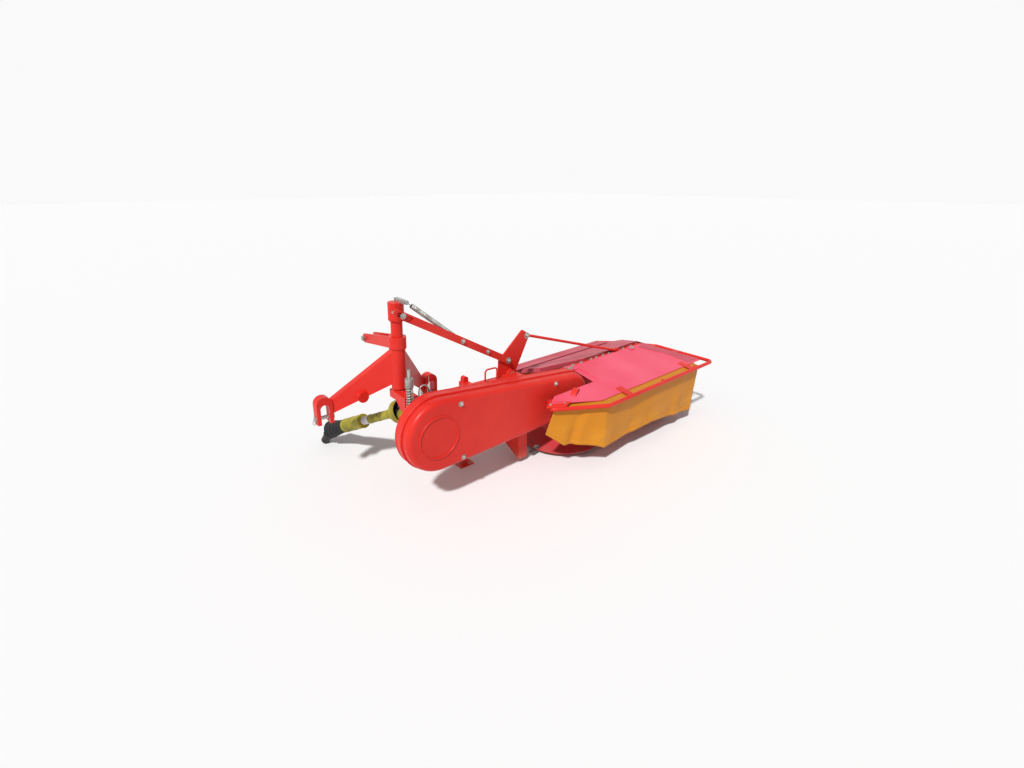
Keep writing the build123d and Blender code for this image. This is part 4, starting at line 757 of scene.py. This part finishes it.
# Drive shaft: forged yokes and crosses, telescoping tubes in yellow plastic guards, a silver sleeve
# and a black bell. The guards are moulded with lips and ribs, and the cone's mouth has a rolled lip.
joints = {joint["name"]: joint for joint in frame["joints"]}
cross = np.array(joints["shaft_lift"]["pos_m"])
far_cross = np.array(joints["yoke_bend"]["pos_m"])
shaft_way = (far_cross - cross) / np.linalg.norm(far_cross - cross)
SPECKS = (0.060, 0.050, 0.030, 1)
BELL_NECK_R, BELL_FLARE, BELL_NECK_END = 50, 0.13, 765


def plastic(name, colour, soiled, rough):
    """Moulded plastic: grease and soil in patches, dark specks, and a fine pebbled skin."""
    made, tree, shader = blank(name)
    where = add(tree, "TexCoord", {}).outputs["Object"]
    grease = grain(tree, where, 7.0, 6.0, 0.46, 0.72)
    specks = times(tree, grain(tree, where, 70.0, 5.0, 0.62, 0.72), 0.6)
    colours = tinted(tree, specks, tinted(tree, grease, colour, soiled), SPECKS)
    tree.links.new(colours, shader.inputs["Base Color"])
    tree.links.new(ramp(tree, grease, 0.0, 1.0, rough, rough + 0.18), shader.inputs["Roughness"])
    emboss(tree, shader, 0.18, 0.0008, noise(tree, where, 260.0, 2.0))
    shader.inputs["Specular IOR Level"].default_value = 0.3
    return made


yellow = plastic("yellow_plastic", (0.345, 0.296, 0.020, 1), (0.170, 0.150, 0.016, 1), 0.48)
silver = plastic("silver_sleeve", (0.640, 0.640, 0.650, 1), (0.420, 0.420, 0.420, 1), 0.34)
black = plastic("black_rubber", (0.009, 0.009, 0.010, 1), (0.026, 0.023, 0.020, 1), 0.55)
iron = metal("forged_iron", (0.050, 0.047, 0.045, 1), (0.028, 0.024, 0.021, 1), 0.5, 0.5)
dress(("shaft_cone", "shaft_tube", "shaft_outer_tube", "input_shield"), yellow)
dress(("shaft_band",), silver)
dress(("shaft_bell",), black)
dress(("input_yoke", "shaft_inner_yoke", "shaft_outer_yoke", "shaft_end_yoke"), iron)


def shaft_ring(run, radius, width):
    """Moulded ring round the shaft at a run from its first cross: a circle square to the shaft, round
    in section."""
    turn = full_turn(72)[:, None]
    side = np.cross(shaft_way, (0, 0, 1))
    side /= np.linalg.norm(side)
    over = np.cross(side, shaft_way)
    centre = cross + run / 1000 * shaft_way
    path = centre + radius / 1000 * (np.cos(turn) * side + np.sin(turn) * over)
    return bar(path, width / 1000, shaft_way, 10, True)


# Columns: run from the first cross, radius, half width.
guard_rings = ((-22, 79, 4.0), (25, 79, 2.5), (117, 33, 4.0), (240, 32, 2.0), (356, 32, 3.5),
               (458, 51, 4.0), (575, 52.5, 2.5), (690, 51, 4.0))
bell_rings = [(run, BELL_NECK_R + BELL_FLARE * max(run - BELL_NECK_END, 0), 2.5)
              for run in (730, 770, 810, 850, 890)] + [(912, 69, 3.0)]
sleeve_rings = ((372, 30, 1.8), (410, 30, 1.8), (446, 30, 1.8))
for name, rings, finish, slot in (("guard_rings", guard_rings, yellow, "yellow_plastic"),
                                  ("bell_rings", bell_rings, black, "black_plastic"),
                                  ("sleeve_rings", sleeve_rings, silver, "band_plastic")):
    surface(name, [shaft_ring(*ring) for ring in rings], finish, "shaft", ROUND_SHARP)

# Floor, light and camera: a pale studio floor under one lamp from high on the left, in a white room.
# The camera stands where the picture was taken, about two metres up at the rear left corner.
FLOOR_HALF = 60
FLOOR_PALE = (0.86, 0.86, 0.86, 1)
ROOM_LIGHT, ROOM_SHOWN = 0.33, 0.95
FOCAL_PIXELS, PHOTO_PIXELS, SENSOR = 486.9, 1024, 36
CAMERA_SPOT = (-2671, -2506, 2011)
CAMERA_DOWN, CAMERA_TURN = 22.77, -40.395
floor_mesh = bpy.data.meshes.new("floor")
floor_corners = [(x * FLOOR_HALF, y * FLOOR_HALF, 0) for x, y in ((-1, -1), (1, -1), (1, 1), (-1, 1))]
floor_mesh.from_pydata(floor_corners, [], [(0, 1, 2, 3)])
floor = bpy.data.objects.new("floor", floor_mesh)
bpy.context.scene.collection.objects.link(floor)
floor_paint, _, floor_shader = blank("floor_paint")
floor_shader.inputs["Base Color"].default_value = FLOOR_PALE
floor_shader.inputs["Roughness"].default_value = 0.9
floor_mesh.materials.append(floor_paint)

room = bpy.data.worlds.new("room")
bpy.context.scene.world = room
room.use_nodes = True
tree = room.node_tree
seen = add(tree, "LightPath", {}).outputs
shown = combine(tree, "MAXIMUM", seen["Is Camera Ray"], seen["Is Glossy Ray"])
shown = combine(tree, "MAXIMUM", shown, seen["Is Transmission Ray"])
strength = ramp(tree, shown, 0.0, 1.0, ROOM_LIGHT, ROOM_SHOWN)
tree.nodes["Background"].inputs[0].default_value = (1, 1, 1, 1)
tree.links.new(strength, tree.nodes["Background"].inputs[1])

lamp = bpy.data.objects.new("lamp", bpy.data.lights.new("lamp", "SUN"))
bpy.context.scene.collection.objects.link(lamp)
lamp.data.energy = 3.2
lamp.data.angle = radians(4)
lamp.rotation_euler = (radians(18), radians(-36), 0)

camera = bpy.data.objects.new("camera", bpy.data.cameras.new("camera"))
bpy.context.scene.collection.objects.link(camera)
camera.data.sensor_width = SENSOR
camera.data.lens = FOCAL_PIXELS / PHOTO_PIXELS * SENSOR
camera.location = level(CAMERA_SPOT)
camera.rotation_euler = (radians(90 - CAMERA_DOWN), 0, radians(CAMERA_TURN))
bpy.context.scene.camera = camera
bpy.context.scene.view_settings.view_transform = "Standard"
